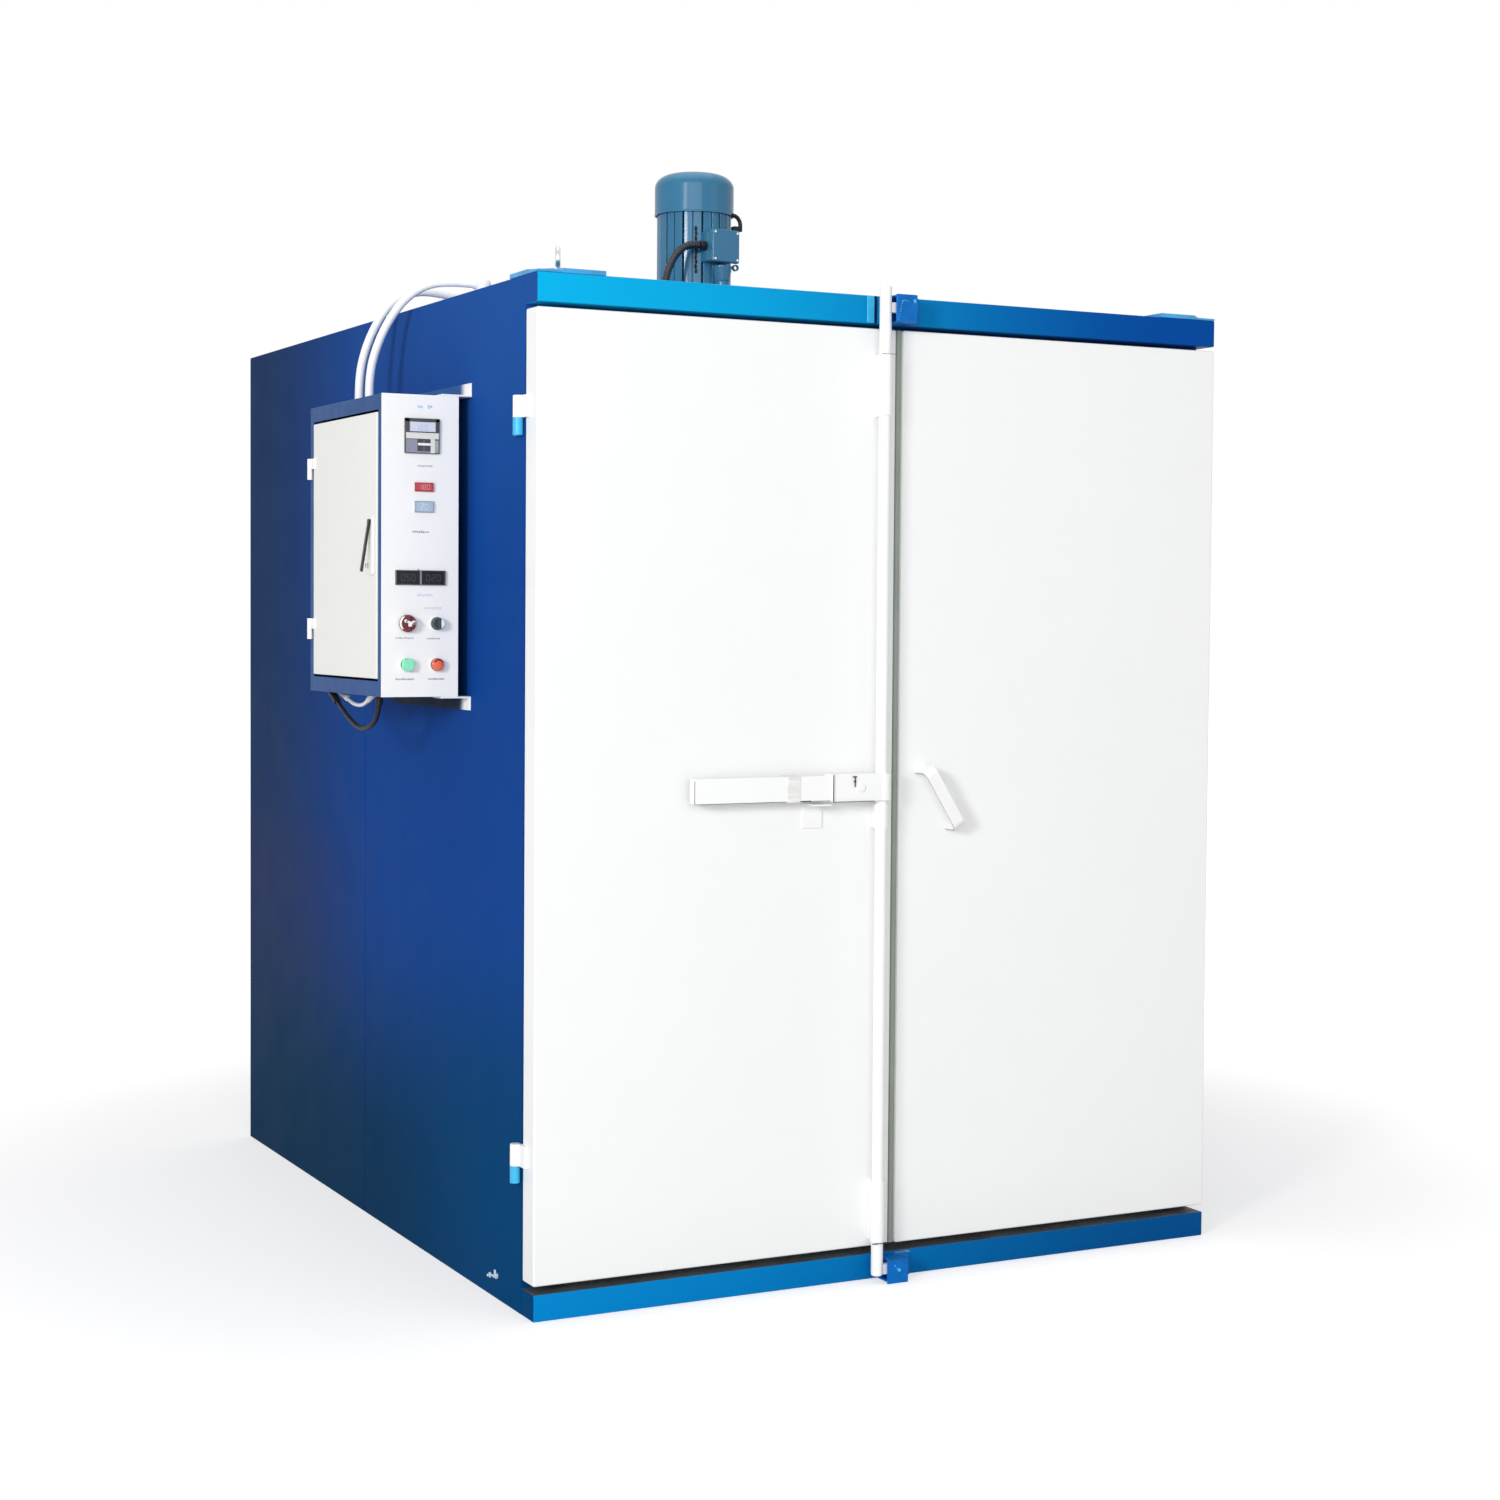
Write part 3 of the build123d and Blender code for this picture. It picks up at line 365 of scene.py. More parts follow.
def add_bolt(bm, place, size):
    """A hexagon head on its washer, pointing up. size is the thread's radius."""
    place, axis = Vector(place), Vector((0, 0, 1))
    add_round(bm, place, place + axis * size * 0.3, size * 2.1, sides=24)
    lift = size * 0.3
    add_round(bm, place + axis * lift, place + axis * (lift + size * 1.2), size * 1.7, sides=6,
              bevel=size * 0.12)


def add_plate(bm, outline, rise, bevel=0.0):
    """A plate: a flat outline of corners, pushed along rise, its far rim rounded."""
    face = bm.faces.new([bm.verts.new(corner) for corner in outline])
    raised = bmesh.ops.extrude_face_region(bm, geom=[face])["geom"]
    lid = [item for item in raised if isinstance(item, bmesh.types.BMVert)]
    bmesh.ops.translate(bm, vec=rise, verts=lid)
    if bevel:
        bevel_edges(bm, [item for item in raised if isinstance(item, bmesh.types.BMEdge)], bevel)


def add_lump(bm, place, size, flat=(1, 1, 1)):
    """A weld lump or a drop of paint: a small ball, flattened."""
    made = bmesh.ops.create_icosphere(bm, subdivisions=2, radius=size)["verts"]
    bmesh.ops.scale(bm, vec=flat, verts=made)
    bmesh.ops.translate(bm, vec=place, verts=made)


# %% [markdown]
# ## Cords
# Two white conduits climb from the control box over the edge of the roof, a ribbed
# hose feeds the motor, and a black and a white cable loop under the box. Each is a
# NURBS spline, whose few control points are its bends, so it
# stays as smooth as a real cable. Its round section comes from the curve's bevel.

# %% Helpers for a cord
def spline_from(name, route):
    curve = bpy.data.curves.new(name, "CURVE")
    curve.dimensions = "3D"
    curve.resolution_u = 16
    spline = curve.splines.new("NURBS")
    spline.points.add(len(route) - 1)
    for point, place in zip(spline.points, route):
        point.co = (*place, 1)
    spline.order_u = 3
    spline.use_endpoint_u = True
    return add_object(name, curve)


def spline_points(piece):
    """The points of the smooth line itself."""
    line = bpy.data.meshes.new_from_object(piece)
    return [vert.co.copy() for vert in line.vertices]


def line_length(points):
    return sum((after - before).length for before, after in zip(points, points[1:]))


def make_cord(node, route, diameter, material):
    piece = spline_from(node + "_line", route)
    length = line_length(spline_points(piece))
    piece.data.bevel_depth = diameter / 2
    piece.data.bevel_resolution = 6
    piece.data.use_fill_caps = True
    piece.data.materials.append(material)
    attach(piece, "oven")
    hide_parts(node)
    print(node, "length", round(length, 3))


# %% Routes of the conduits and cables
rear_conduit_route = [
    (-0.975, -0.2175, 1.988), (-0.975, -0.2175, 2.040), (-0.961, -0.217, 2.104),
    (-0.936, -0.216, 2.162), (-0.901, -0.215, 2.216), (-0.846, -0.215, 2.249),
    (-0.785, -0.217, 2.252), (-0.730, -0.219, 2.241),
]
front_conduit_route = [
    (-0.975, -0.2915, 1.988), (-0.975, -0.2915, 2.040), (-0.959, -0.293, 2.104),
    (-0.934, -0.298, 2.162), (-0.901, -0.315, 2.216), (-0.861, -0.352, 2.250),
    (-0.815, -0.400, 2.255), (-0.774, -0.442, 2.247),
]
motor_hose_route = [
    (-0.150, -0.135, 2.222), (-0.150, -0.135, 2.262), (-0.148, -0.134, 2.306),
    (-0.140, -0.131, 2.348), (-0.122, -0.127, 2.388), (-0.096, -0.124, 2.418),
    (-0.0677, -0.1216, 2.430), (-0.042, -0.118, 2.430),
]
black_cable_route = [
    (-1.040, -0.554, 1.284), (-1.041, -0.552, 1.268), (-1.041, -0.539, 1.251),
    (-1.042, -0.512, 1.237), (-1.042, -0.476, 1.229), (-1.043, -0.436, 1.227),
    (-1.043, -0.392, 1.235), (-1.043, -0.346, 1.250), (-1.042, -0.303, 1.266),
    (-1.041, -0.264, 1.282),
]
white_cable_route = [
    (-1.020, -0.424, 1.291), (-1.020, -0.398, 1.281), (-1.020, -0.368, 1.277),
    (-1.020, -0.334, 1.277), (-1.020, -0.300, 1.282), (-1.020, -0.272, 1.290),
]
make_cord("rear_conduit", rear_conduit_route, 0.020, white_plastic)
make_cord("front_conduit", front_conduit_route, 0.020, white_plastic)
make_cord("black_cable", black_cable_route, 0.011, black_rubber)
make_cord("white_cable", white_cable_route, 0.009, white_plastic)

# %% [markdown]
# The motor's hose is corrugated. A plain tube with a bump would still look smooth at
# its outline, so its rings are real: circles of two sizes are set along the smooth
# line, each square to it, and bridged one to the next.

# %% The ribbed hose
ring_step, groove_depth = 0.0018, 0.0016


def rings_along(line):
    """Places at equal steps along a line, each with the line's direction there."""
    stops, walked, wanted = [], 0.0, 0.0
    for before, after in zip(line, line[1:]):
        run = (after - before).length
        along = (after - before).normalized()
        while wanted <= walked + run:
            stops.append((before.lerp(after, (wanted - walked) / run), along))
            wanted += ring_step
        walked += run
    return stops


def ribbed_hose(node, route, radius, body, material, slot):
    guide = spline_from(node + "_guide", route)
    line = spline_points(guide)
    bpy.data.objects.remove(guide)
    bm = bmesh.new()
    loops = []
    for index, (place, along) in enumerate(rings_along(line)):
        size = radius if index % 4 in (0, 1) else radius - groove_depth
        turn = along.to_track_quat("Z", "Y").to_matrix().to_4x4()
        ring = bmesh.ops.create_circle(bm, segments=24, radius=size,
                                       matrix=Matrix.Translation(place) @ turn)["verts"]
        loops.append(edges_of(ring))
    for before, after in zip(loops, loops[1:]):
        bmesh.ops.bridge_loops(bm, edges=before + after)
    bmesh.ops.holes_fill(bm, edges=loops[0] + loops[-1], sides=0)
    piece = piece_from(bm, node + "_ribs", body, material, slot, replaces=(node,), sharp=60)


ribbed_hose("motor_hose", motor_hose_route, 0.010, "oven", hose_black, "hose_black")

# %% [markdown]
# ## Sheets with rounded edges
# Folded sheet steel never has a razor edge: the bend shows as a thin bright line. A
# bevel on a plain box gives that line, and where two panels meet their two bevels make
# the fine groove of the real seam. The pieces take their size from the CAD nodes.

# %% Cabinet panels
def panel_over(node, name, body, material, slot, bevel=0.0025, segments=2):
    """A slab with rounded edges in the place of a CAD node."""
    return piece_of(add_slab, name, body, material, slot, (*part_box(node), bevel, segments),
                    replaces=(node,))


for wall in ("left_wall_front", "left_wall_rear", "right_wall_front", "right_wall_rear",
             "rear_wall"):
    panel_over(wall, wall + "_sheet", "oven", wall_paint, "wall_paint")
panel_over("roof_panel", "roof_sheet", "oven", roof_paint, "roof_paint")
floor_low, floor_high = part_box("floor_panel")
print("chamber floor", [round(value, 3) for value in floor_high - floor_low])

# %% Header and sill, with painted glare on the front and the wall's blue on their ends
for node, paint in (("header_beam", beam_paint), ("sill_beam", sill_paint_with_painted_glare)):
    beam = panel_over(node, node + "_tube", "oven", paint, "beam_paint", bevel=0.003)
    second_finish(beam, wall_paint,
                  lambda face: abs(face.normal.x) > 0.9 or face.normal.y > 0.9)
    if node == "sill_beam":
        second_finish(beam, worn_steel, lambda face: face.normal.z > 0.9)

# %% [markdown]
# ## Softening the CAD's own edges
# Where a CAD node already has the right shape, such as a folded channel or a bracket,
# it isn't modelled again. A copy of its mesh is merged, its flat faces are joined, and
# a Bevel modifier rounds only the corners that are sharper than a set angle.

# %% Helper that softens a node
def softened(node, width, body, material, slot):
    bm = bmesh.new()
    bm.from_mesh(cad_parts[node].data)
    bmesh.ops.remove_doubles(bm, verts=bm.verts, dist=0.00002)
    bmesh.ops.dissolve_limit(bm, angle_limit=radians(1), verts=bm.verts, edges=bm.edges)
    return piece_from(bm, node + "_soft", body, material, slot, replaces=(node,), outward=False,
                      edge=width)


# %% Doors, locking gear and keeps
for side in ("left", "right"):
    panel_over(side + "_door_leaf", side + "_leaf_sheet", side + "_door", door_paint,
               "door_paint", 0.004, 3)
softened("lever_channel", 0.0012, "lock_bar", bar_paint, "bar_paint")
softened("lever_case", 0.0020, "lock_bar", bar_paint, "bar_paint")
softened("lever_sleeve", 0.0006, "lock_bar", dull_steel, "grey_steel")
softened("lever_catch", 0.0008, "left_door", door_paint, "door_paint")
softened("bar_guides", 0.0010, "left_door", bar_paint, "bar_paint")
handle = softened("pull_handle", 0.0008, "right_door", door_paint, "door_paint")
# The handle's left side is painted grey: painted shade.
second_finish(handle, handle_side_painted_shade, lambda face: face.normal.x < -0.55)
softened("lock_keeps", 0.0016, "oven", keep_paint, "beam_paint")
softened("lifting_pads", 0.0012, "oven", pad_paint, "beam_paint")

# %% Control box, whose front rim is a lighter blue on the left side
rim_back = -0.655
shell = softened("control_box_shell", 0.0012, "oven", box_paint, "box_paint")
second_finish(shell, box_rim_paint,
              lambda face: face.normal.x < -0.9 and face.center.y < rim_back)
softened("control_box_brackets", 0.0012, "oven", bracket_white_with_painted_shade, "panel_paint")
panel_over("box_door_leaf", "box_door_sheet", "box_door", box_door_paint, "panel_paint",
           0.0025, 3)
softened("instrument_panel", 0.0008, "oven", panel_paint, "panel_paint")
softened("box_handle_base", 0.0015, "box_door", box_door_paint, "panel_paint")
softened("box_lever", 0.0012, "box_lever", black_plastic, "black_plastic")

# %% Nodes whose shape stays, with a finish
for node, material in {
        "floor_panel": lining_steel, "doorway_gasket": gasket_rubber, "locking_bar": bar_paint,
        "left_door_knuckles": door_paint, "right_door_knuckles": door_paint,
        "door_hinge_pins": hinge_paint, "eye_bolt": zinc, "lock_tongues": bar_paint,
        "box_hinge_pins": panel_paint, "box_door_knuckles": panel_paint,
        "control_collars": zinc, "conduit_fittings": white_plastic,
        "cable_boots": black_rubber, "hose_glands": black_plastic}.items():
    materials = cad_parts[node].data.materials
    materials.clear()
    materials.append(material)
between_boots = -1.0300
second_finish(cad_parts["cable_boots"], white_plastic,
              lambda face: face.center.x > between_boots)

# %% [markdown]
# ## The seal between the doors
# A silicone seal with three soft ribs closes the gap between the leaves. A bump map
# would leave its outline flat where it is seen from the side, so each rib is a long
# round bar half sunk in the backing strip.

# %% Meeting seal
low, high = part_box("meeting_seal")
backing, rib_radius = 0.005, 0.0062
rib_x = low.x + rib_radius
bm = bmesh.new()
add_slab(bm, (high.x - backing, low.y, low.z), high, 0.001)
for y in (low.y + rib_radius, (low.y + high.y) / 2, high.y - rib_radius):
    add_round(bm, (rib_x, y, low.z), (rib_x, y, high.z), rib_radius, sides=20)
piece_from(bm, "meeting_seal_ribs", "right_door", gasket_rubber, "gasket_rubber",
           replaces=("meeting_seal",))

# %% [markdown]
# ## The lining
# Inside, such an oven is lined with plain zinc-coated sheets that overlap in strips.
# They are thin slabs with a small gap between them, so that open doors show a real
# inside. The back of each door has its own lining sheet.

# %% Chamber lining
left_in, right_in, rear_in = -0.770, 0.770, 0.9575
front_in, floor_in, ceiling_in = -0.9875, 0.100, 2.100
gap, sheet, door_inset = 0.0015, 0.0015, 0.045


def strips(start, end, count):
    """The ends of equal strips between two walls, with a small gap beside each."""
    return [(start + (end - start) * index / count + gap,
             start + (end - start) * (index + 1) / count - gap) for index in range(count)]


slabs = []
for y_low, y_high in strips(front_in, rear_in, 4):
    slabs += [((left_in, y_low, floor_in), (left_in + sheet, y_high, ceiling_in)),
              ((right_in - sheet, y_low, floor_in), (right_in, y_high, ceiling_in)),
              ((left_in, y_low, ceiling_in - sheet), (right_in, y_high, ceiling_in))]
for x_low, x_high in strips(left_in, right_in, 3):
    slabs.append(((x_low, rear_in - sheet, floor_in), (x_high, rear_in, ceiling_in)))
piece_of(add_slab, "chamber_lining", "oven", lining_steel, "inner_steel",
         *((low, high, 0.0005, 1) for low, high in slabs))
for side in ("left", "right"):
    low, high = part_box(side + "_door_leaf")
    piece_of(add_slab, side + "_door_leaf_lining", side + "_door", lining_steel, "inner_steel",
             ((low.x + door_inset, high.y, low.z + door_inset),
              (high.x - door_inset, high.y + sheet, high.z - door_inset), 0.0006, 1))
print("lining sheets", len(slabs) + 2)

# %% [markdown]
# ## The fan motor
# The motor is made as a workshop would make it: outlines spun on a lathe, a housing
# whose ribs are one outline pushed straight up, and a cast box with a lid. The cowl's
# outline has a rolled rim below and a wide round shoulder above.

# %% Motor cowl
cowl_low, cowl_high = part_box("motor_cowl")
rim_radius = (cowl_high.x - cowl_low.x) / 2
wall_radius, cowl_top = rim_radius - 0.0008, cowl_high.z - 0.001
shoulder_wide, shoulder_high = 0.050, 0.035
outline = [(rim_radius - 0.004, cowl_low.z + 0.030), (rim_radius - 0.004, cowl_low.z),
           (rim_radius, cowl_low.z), (rim_radius, cowl_low.z + 0.004),
           (wall_radius, cowl_low.z + 0.005)]
for step in range(13):
    angle = radians(step * 7.5)
    outline.append((wall_radius - shoulder_wide * (1 - cos(angle)),
                    cowl_top - shoulder_high * (1 - sin(angle))))
outline += [(0.046, cowl_top), (0.044, cowl_top - 0.0015), (0.0, cowl_top - 0.0015)]
piece_of(add_spun, "motor_cowl_shell", "oven", motor_paint, "motor_paint",
         (outline, (0, 0, 0), (0, 0, 1), 96), replaces=("motor_cowl",), sharp=50)

# %% The cowl's grille: four rings and eight spokes
ring_foot, ring_top, ring_half = cowl_high.z - 0.0026, cowl_high.z - 0.0006, 0.0012
hub = Vector((0, 0, cowl_high.z - 0.0014))
bm = bmesh.new()
for ring in range(1, 5):
    inner, outer = 0.009 * ring + 0.004 - ring_half, 0.009 * ring + 0.004 + ring_half
    add_spun(bm, [(inner, ring_foot), (inner, ring_top), (outer, ring_top), (outer, ring_foot)])
for spoke in range(8):
    direction = Vector((cos(spoke * pi / 4), sin(spoke * pi / 4), 0))
    add_round(bm, direction * 0.008 + hub, direction * 0.044 + hub, 0.0011, sides=8)
piece_from(bm, "motor_cowl_grille", "oven", motor_paint, "motor_paint", sharp=50)

# %% Motor body with its ribs
body_low, body_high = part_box("motor_body")
rib_tip, rib_root, groove_root = 0.096, 0.084, 0.0915
slot_half, groove_half = 0.0025, 0.0014
first_slot, slot_count = radians(17.2), 12


def rib_outline():
    """Round the housing: an arc, a deep slot, an arc, a shallow groove, and so on."""
    turns = []
    for index in range(slot_count * 2):
        centre = first_slot + index * pi / slot_count
        half, root = (slot_half, rib_root) if index % 2 == 0 else (groove_half, groove_root)
        edge = half / rib_tip
        turns += [(centre - edge, rib_tip), (centre - half / root, root),
                  (centre + half / root, root), (centre + edge, rib_tip)]
        arc_angle = pi / slot_count - 2 * edge
        turns += [(centre + edge + arc_angle * part / 6, rib_tip) for part in range(1, 6)]
    return [(radius * cos(angle), radius * sin(angle), body_low.z) for angle, radius in turns]


ribs = piece_of(add_plate, "motor_ribbed_body", "oven", motor_paint, "motor_paint",
                (rib_outline(), (0, 0, body_high.z - body_low.z)), replaces=("motor_body",),
                edge=0.0009)
# The walls of the slots get a dark blue: painted shade in the slots.
second_finish(ribs, painted_shade_blue, lambda face: abs(face.normal.z) < 0.5
              and Vector(face.center[:2]).length < rib_root + 0.001)
print("ribs", slot_count * 2)

# %% Motor flange and stool, with their bolts
flange_low, flange_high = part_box("motor_flange")
flange_radius, chamfer = (flange_high.x - flange_low.x) / 2, 0.002
piece_of(add_spun, "motor_flange_disc", "oven", motor_paint, "motor_paint",
         ([(0.0, flange_low.z), (flange_radius, flange_low.z),
           (flange_radius, flange_high.z - chamfer), (flange_radius - chamfer, flange_high.z),
           (0.0, flange_high.z)], (0, 0, 0), (0, 0, 1), 96), replaces=("motor_flange",))
softened("motor_stool", 0.0015, "oven", motor_paint, "motor_paint")
ring_reach, corner_reach, bolt_size = 0.111, 0.112, 0.005
foot_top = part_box("motor_stool")[0].z + 0.010
bolts = [(cos(angle) * ring_reach, sin(angle) * ring_reach, flange_high.z)
         for angle in (pi / 8 + index * pi / 4 for index in range(8))]
bolts += [(x, y, foot_top) for x in (-corner_reach, corner_reach)
          for y in (-corner_reach, corner_reach)]
piece_of(add_bolt, "motor_bolts", "oven", zinc, "zinc_steel",
         *((place, bolt_size) for place in bolts))
print("motor bolts", len(bolts))

# %% Terminal box with its lid, screws and gasket
terminal_turn = Matrix.Rotation(radians(8), 3, "Z")
box_foot, box_top, lid_face = 2.386, 2.472, -0.149
piece_of(add_slab, "terminal_box_casting", "oven", motor_paint, "motor_paint",
         ((-0.038, -0.132, box_foot + 0.004), (0.038, -0.076, box_top - 0.004), 0.004, 3),
         ((-0.0415, lid_face, box_foot + 0.001), (0.0415, -0.134, box_top - 0.001), 0.0045, 3),
         ((-0.030, -0.120, box_top - 0.008), (0.020, -0.086, box_top), 0.003),
         replaces=("terminal_box",), turn=terminal_turn)
piece_of(add_slab, "terminal_box_gasket", "oven", black_rubber, "black_rubber",
         ((-0.0385, -0.1345, box_foot + 0.0035), (0.0385, -0.1315, box_top - 0.0035), 0.001, 1),
         turn=terminal_turn)
piece_of(add_round, "terminal_box_screws", "oven", zinc, "zinc_steel",
         *(((x, lid_face, z), (x, lid_face - 0.0007, z), 0.0032, 20, 0.0003)
           for x in (-0.034, 0.034) for z in (box_foot + 0.009, box_top - 0.009)),
         turn=terminal_turn)

# %% [markdown]
# ## The control panel
# Each instrument is a frame with a window set back in it. The numbers are seven-bar
# digits made of small slabs, because a texture image isn't used anywhere. Every place
# on the panel is given from its lower left corner.

# %% Helpers for the control panel
panel_left, panel_foot, panel_face = -1.078, 1.306, -0.6825


def add_on_panel(bm, u, v, width, height, low, high, bevel=0.0, segments=2):
    """A slab on the panel: centre u, v, and from low to high in front of its face."""
    x, z = panel_left + u, panel_foot + v
    add_slab(bm, (x - width / 2, panel_face - high, z - height / 2),
             (x + width / 2, panel_face - low, z + height / 2), bevel, segments)


def add_frame(bm, u, v, width, height, rim, low, high, bevel=0.0006):
    """Four slabs round a window."""
    for side in (-1, 1):
        add_on_panel(bm, u + side * (width - rim) / 2, v, rim, height, low, high, bevel, 1)
        add_on_panel(bm, u, v + side * (height - rim) / 2, width, rim, low, high, bevel, 1)


lit_bars = {"0": "abcdef", "1": "bc", "2": "abged", "5": "afgcd", "8": "abcdefg"}
bar_places = {"a": (0, 1), "g": (0, 0), "d": (0, -1),
              "f": (-1, 0.5), "b": (1, 0.5), "e": (-1, -0.5), "c": (1, -0.5)}


def add_digit(bm, u, v, digit, height, depth):
    """One seven-bar digit whose bars stand a hair in front of the window."""
    width, bar = height * 0.52, height * 0.12
    for name in lit_bars[digit]:
        across, along = bar_places[name]
        size = (bar, height / 2 - bar) if across else (width - bar, bar)
        add_on_panel(bm, u + across * width / 2, v + along * height / 2, *size, depth,
                     depth + 0.0003)


def add_number(bm, u, v, text, height, pitch, depth):
    for index, digit in enumerate(text):
        add_digit(bm, u + (index - (len(text) - 1) / 2) * pitch, v, digit, height, depth)


# %% Temperature controller: each slab is left, right, foot, top and how far it stands out
controller_low, controller_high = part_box("temperature_controller")
controller_wide = controller_high.x - controller_low.x
controller_tall = controller_high.z - controller_low.z


def add_on_controller(bm, left, right, foot, top, high):
    """A slab on the controller, placed by shares of its width and height."""
    add_on_panel(bm, controller_low.x - panel_left + (left + right) / 2 * controller_wide,
                 controller_low.z - panel_foot + (foot + top) / 2 * controller_tall,
                 (right - left) * controller_wide, (top - foot) * controller_tall, 0.0, high,
                 0.0004, 1)


for name, material, slot, slabs in (
        ("controller_bezel", dark_moulding, "controller_plastic", (
            (0.0, 1.0, 0.0, 1.0, 0.0040), (0.0, 0.126, 0.61, 1.0, 0.0068),
            (0.885, 1.0, 0.61, 1.0, 0.0068), (0.0, 1.0, 0.903, 1.0, 0.0068),
            (0.0, 1.0, 0.595, 0.622, 0.0068), (0.0, 0.020, 0.0, 0.60, 0.0062),
            (0.980, 1.0, 0.0, 0.60, 0.0062), (0.0, 1.0, 0.0, 0.014, 0.0062),
            (0.356, 0.741, 0.065, 0.405, 0.0056))),
        ("controller_window", pale_lavender, "blue_screen",
         ((0.126, 0.885, 0.622, 0.903, 0.0050),)),
        ("controller_band", ivory, "panel_paint", (
            (0.020, 0.980, 0.416, 0.595, 0.0056), (0.741, 0.866, 0.014, 0.416, 0.0056))),
        ("controller_field", lavender, "controller_plastic", (
            (0.020, 0.356, 0.014, 0.400, 0.0052), (0.356, 0.741, 0.014, 0.065, 0.0052),
            (0.536, 0.548, 0.065, 0.405, 0.0060))),
        ("controller_keys", white_plastic, "panel_paint",
         ((0.368, 0.741, 0.227, 0.297, 0.0062),)),
        ("controller_side_window", pale_green, "controller_plastic",
         ((0.872, 0.974, 0.020, 0.385, 0.0054),))):
    piece_of(add_on_controller, name, "oven", material, slot, *slabs,
             replaces=("temperature_controller",) if name == "controller_bezel" else ())
piece_of(add_number, "controller_digits", "oven", label_blue, "blue_screen",
         (0.089, 0.588, "180", 0.012, 0.0105, 0.0050))

# %% Displays and the twin counter
for node, centre, size, window, rim, digits, ink, slot, text in (
        ("red_display", (0.096, 0.4590), (0.042, 0.019), red_window, dark_red, 0.0110,
         pale_digit, "red_screen", "180"),
        ("blue_display", (0.096, 0.4160), (0.042, 0.024), blue_window, slate_digit, 0.0125,
         pale_lavender, "blue_screen", "20")):
    piece_of(add_on_panel, node + "_window", "oven", window, slot,
             (*centre, size[0] - 0.002, size[1] - 0.002, 0.0, 0.0052, 0.0006, 1),
             replaces=(node,))
    piece_of(add_frame, node + "_rim", "oven", rim, slot,
             (*centre, *size, 0.0014, 0.0, 0.0062, 0.0004))
    piece_of(add_number, node + "_digits", "oven", ink, slot,
             (*centre, text, digits, 0.0095, 0.0052))
halves = ((0.059, 0.261), (0.117, 0.261))
piece_of(add_on_panel, "twin_counter_windows", "oven", black_window, "dark_screen",
         *((*half, 0.053, 0.027, 0.0, 0.0055, 0.0008) for half in halves),
         replaces=("twin_counter",))
piece_of(add_frame, "twin_counter_frames", "oven", dark_moulding, "controller_plastic",
         *((*half, 0.056, 0.032, 0.0022, 0.0, 0.0068) for half in halves))
piece_of(add_on_panel, "twin_counter_divider", "oven", slate_digit, "controller_plastic",
         (0.088, 0.261, 0.0024, 0.031, 0.0, 0.0070, 0.0004, 1),
         (0.0840, 0.2785, 0.0034, 0.0030, 0.0, 0.0015, 0.0003, 1))
piece_of(add_number, "twin_counter_digits", "oven", dim_digit, "dark_screen",
         *((*half, text, 0.014, 0.012, 0.0055) for half, text in zip(halves, ("050", "020"))))

# %% [markdown]
# Under each instrument the photo shows a short strip that is too small to read. Words
# would be a guess, so each strip is a row of small plain blocks of uneven width. They
# are drawn from a fixed random seed, so every run makes the same ones.

# %% Label strips
label_random = Random(7)
for index, (u, v, width, height, material) in enumerate((
        (0.087, 0.634, 0.011, 0.0075, label_blue), (0.110, 0.634, 0.010, 0.0085, label_blue),
        (0.099, 0.505, 0.034, 0.0036, ink_and_painted_shade), (0.089, 0.361, 0.037, 0.0050, ink_and_painted_shade),
        (0.099, 0.223, 0.035, 0.0060, label_faint), (0.1175, 0.195, 0.040, 0.0065, label_faint),
        (0.0524, 0.1288, 0.040, 0.0032, ink_and_painted_shade), (0.1188, 0.1277, 0.028, 0.0032, ink_and_painted_shade),
        (0.0536, 0.039, 0.042, 0.0042, ink_and_painted_shade), (0.126, 0.039, 0.037, 0.0036, ink_and_painted_shade))):
    bm = bmesh.new()
    walked = 0.0
    while walked < width:
        block = min(label_random.uniform(0.0016, 0.0052), width - walked + 0.0008)
        tall = height * label_random.uniform(0.55, 1.0)
        shift = label_random.uniform(-0.1, 0.1) * height
        add_on_panel(bm, u - width / 2 + walked + block / 2, v + shift, block, tall, 0.0, 0.00035)
        walked += block + label_random.uniform(0.0008, 0.0016)
    piece_from(bm, "label_strip_" + str(index), "oven", material, "panel_paint")

# %% Knobs
knob_face, knob_height = panel_face - 0.0053, panel_foot + 0.161
left_x, right_x = panel_left + 0.057, panel_left + 0.126
for node, x, radius, material, slot in (
        ("left_knob", left_x, 0.019, red_moulding, "red_knob"),
        ("right_knob", right_x, 0.014, dark_green, "dark_knob")):
    bm = bmesh.new()
    add_spun(bm, [(0.0, 0.0), (radius, 0.0), (radius, 0.0035), (radius * 0.93, 0.0045),
                  (radius * 0.90, 0.0125), (radius * 0.84, 0.0140), (0.0, 0.0140)],
             centre=(x, knob_face, knob_height), axis=(0, -1, 0), steps=56)
    add_slab(bm, (x - radius * 0.22, knob_face - 0.0178, knob_height - radius * 0.82),
             (x + radius * 0.22, knob_face - 0.0120, knob_height + radius * 0.82), 0.0015)
    piece_from(bm, node + "_cap", node, material, slot, replaces=(node,), sharp=40)


# %% White marks on the knobs, and a painted highlight on the left knob's rim
def add_mark(bm, low, high, bevel, turn, across, along):
    """A slab on the left knob, turned about the knob's axis and then moved."""
    made = add_slab(bm, low, high, bevel, 1)
    bmesh.ops.rotate(bm, cent=(0, 0, 0), matrix=Matrix.Rotation(turn, 3, "Y"), verts=made)
    bmesh.ops.translate(bm, vec=(left_x + across, knob_face, knob_height + along), verts=made)


def arc(centre, radius, angles, tall=None):
    """Points of an arc that faces the front. tall gives it another radius upwards."""
    x, y, z = centre
    return [(x + radius * cos(radians(angle)), y, z + (tall or radius) * sin(radians(angle)))
            for angle in angles]


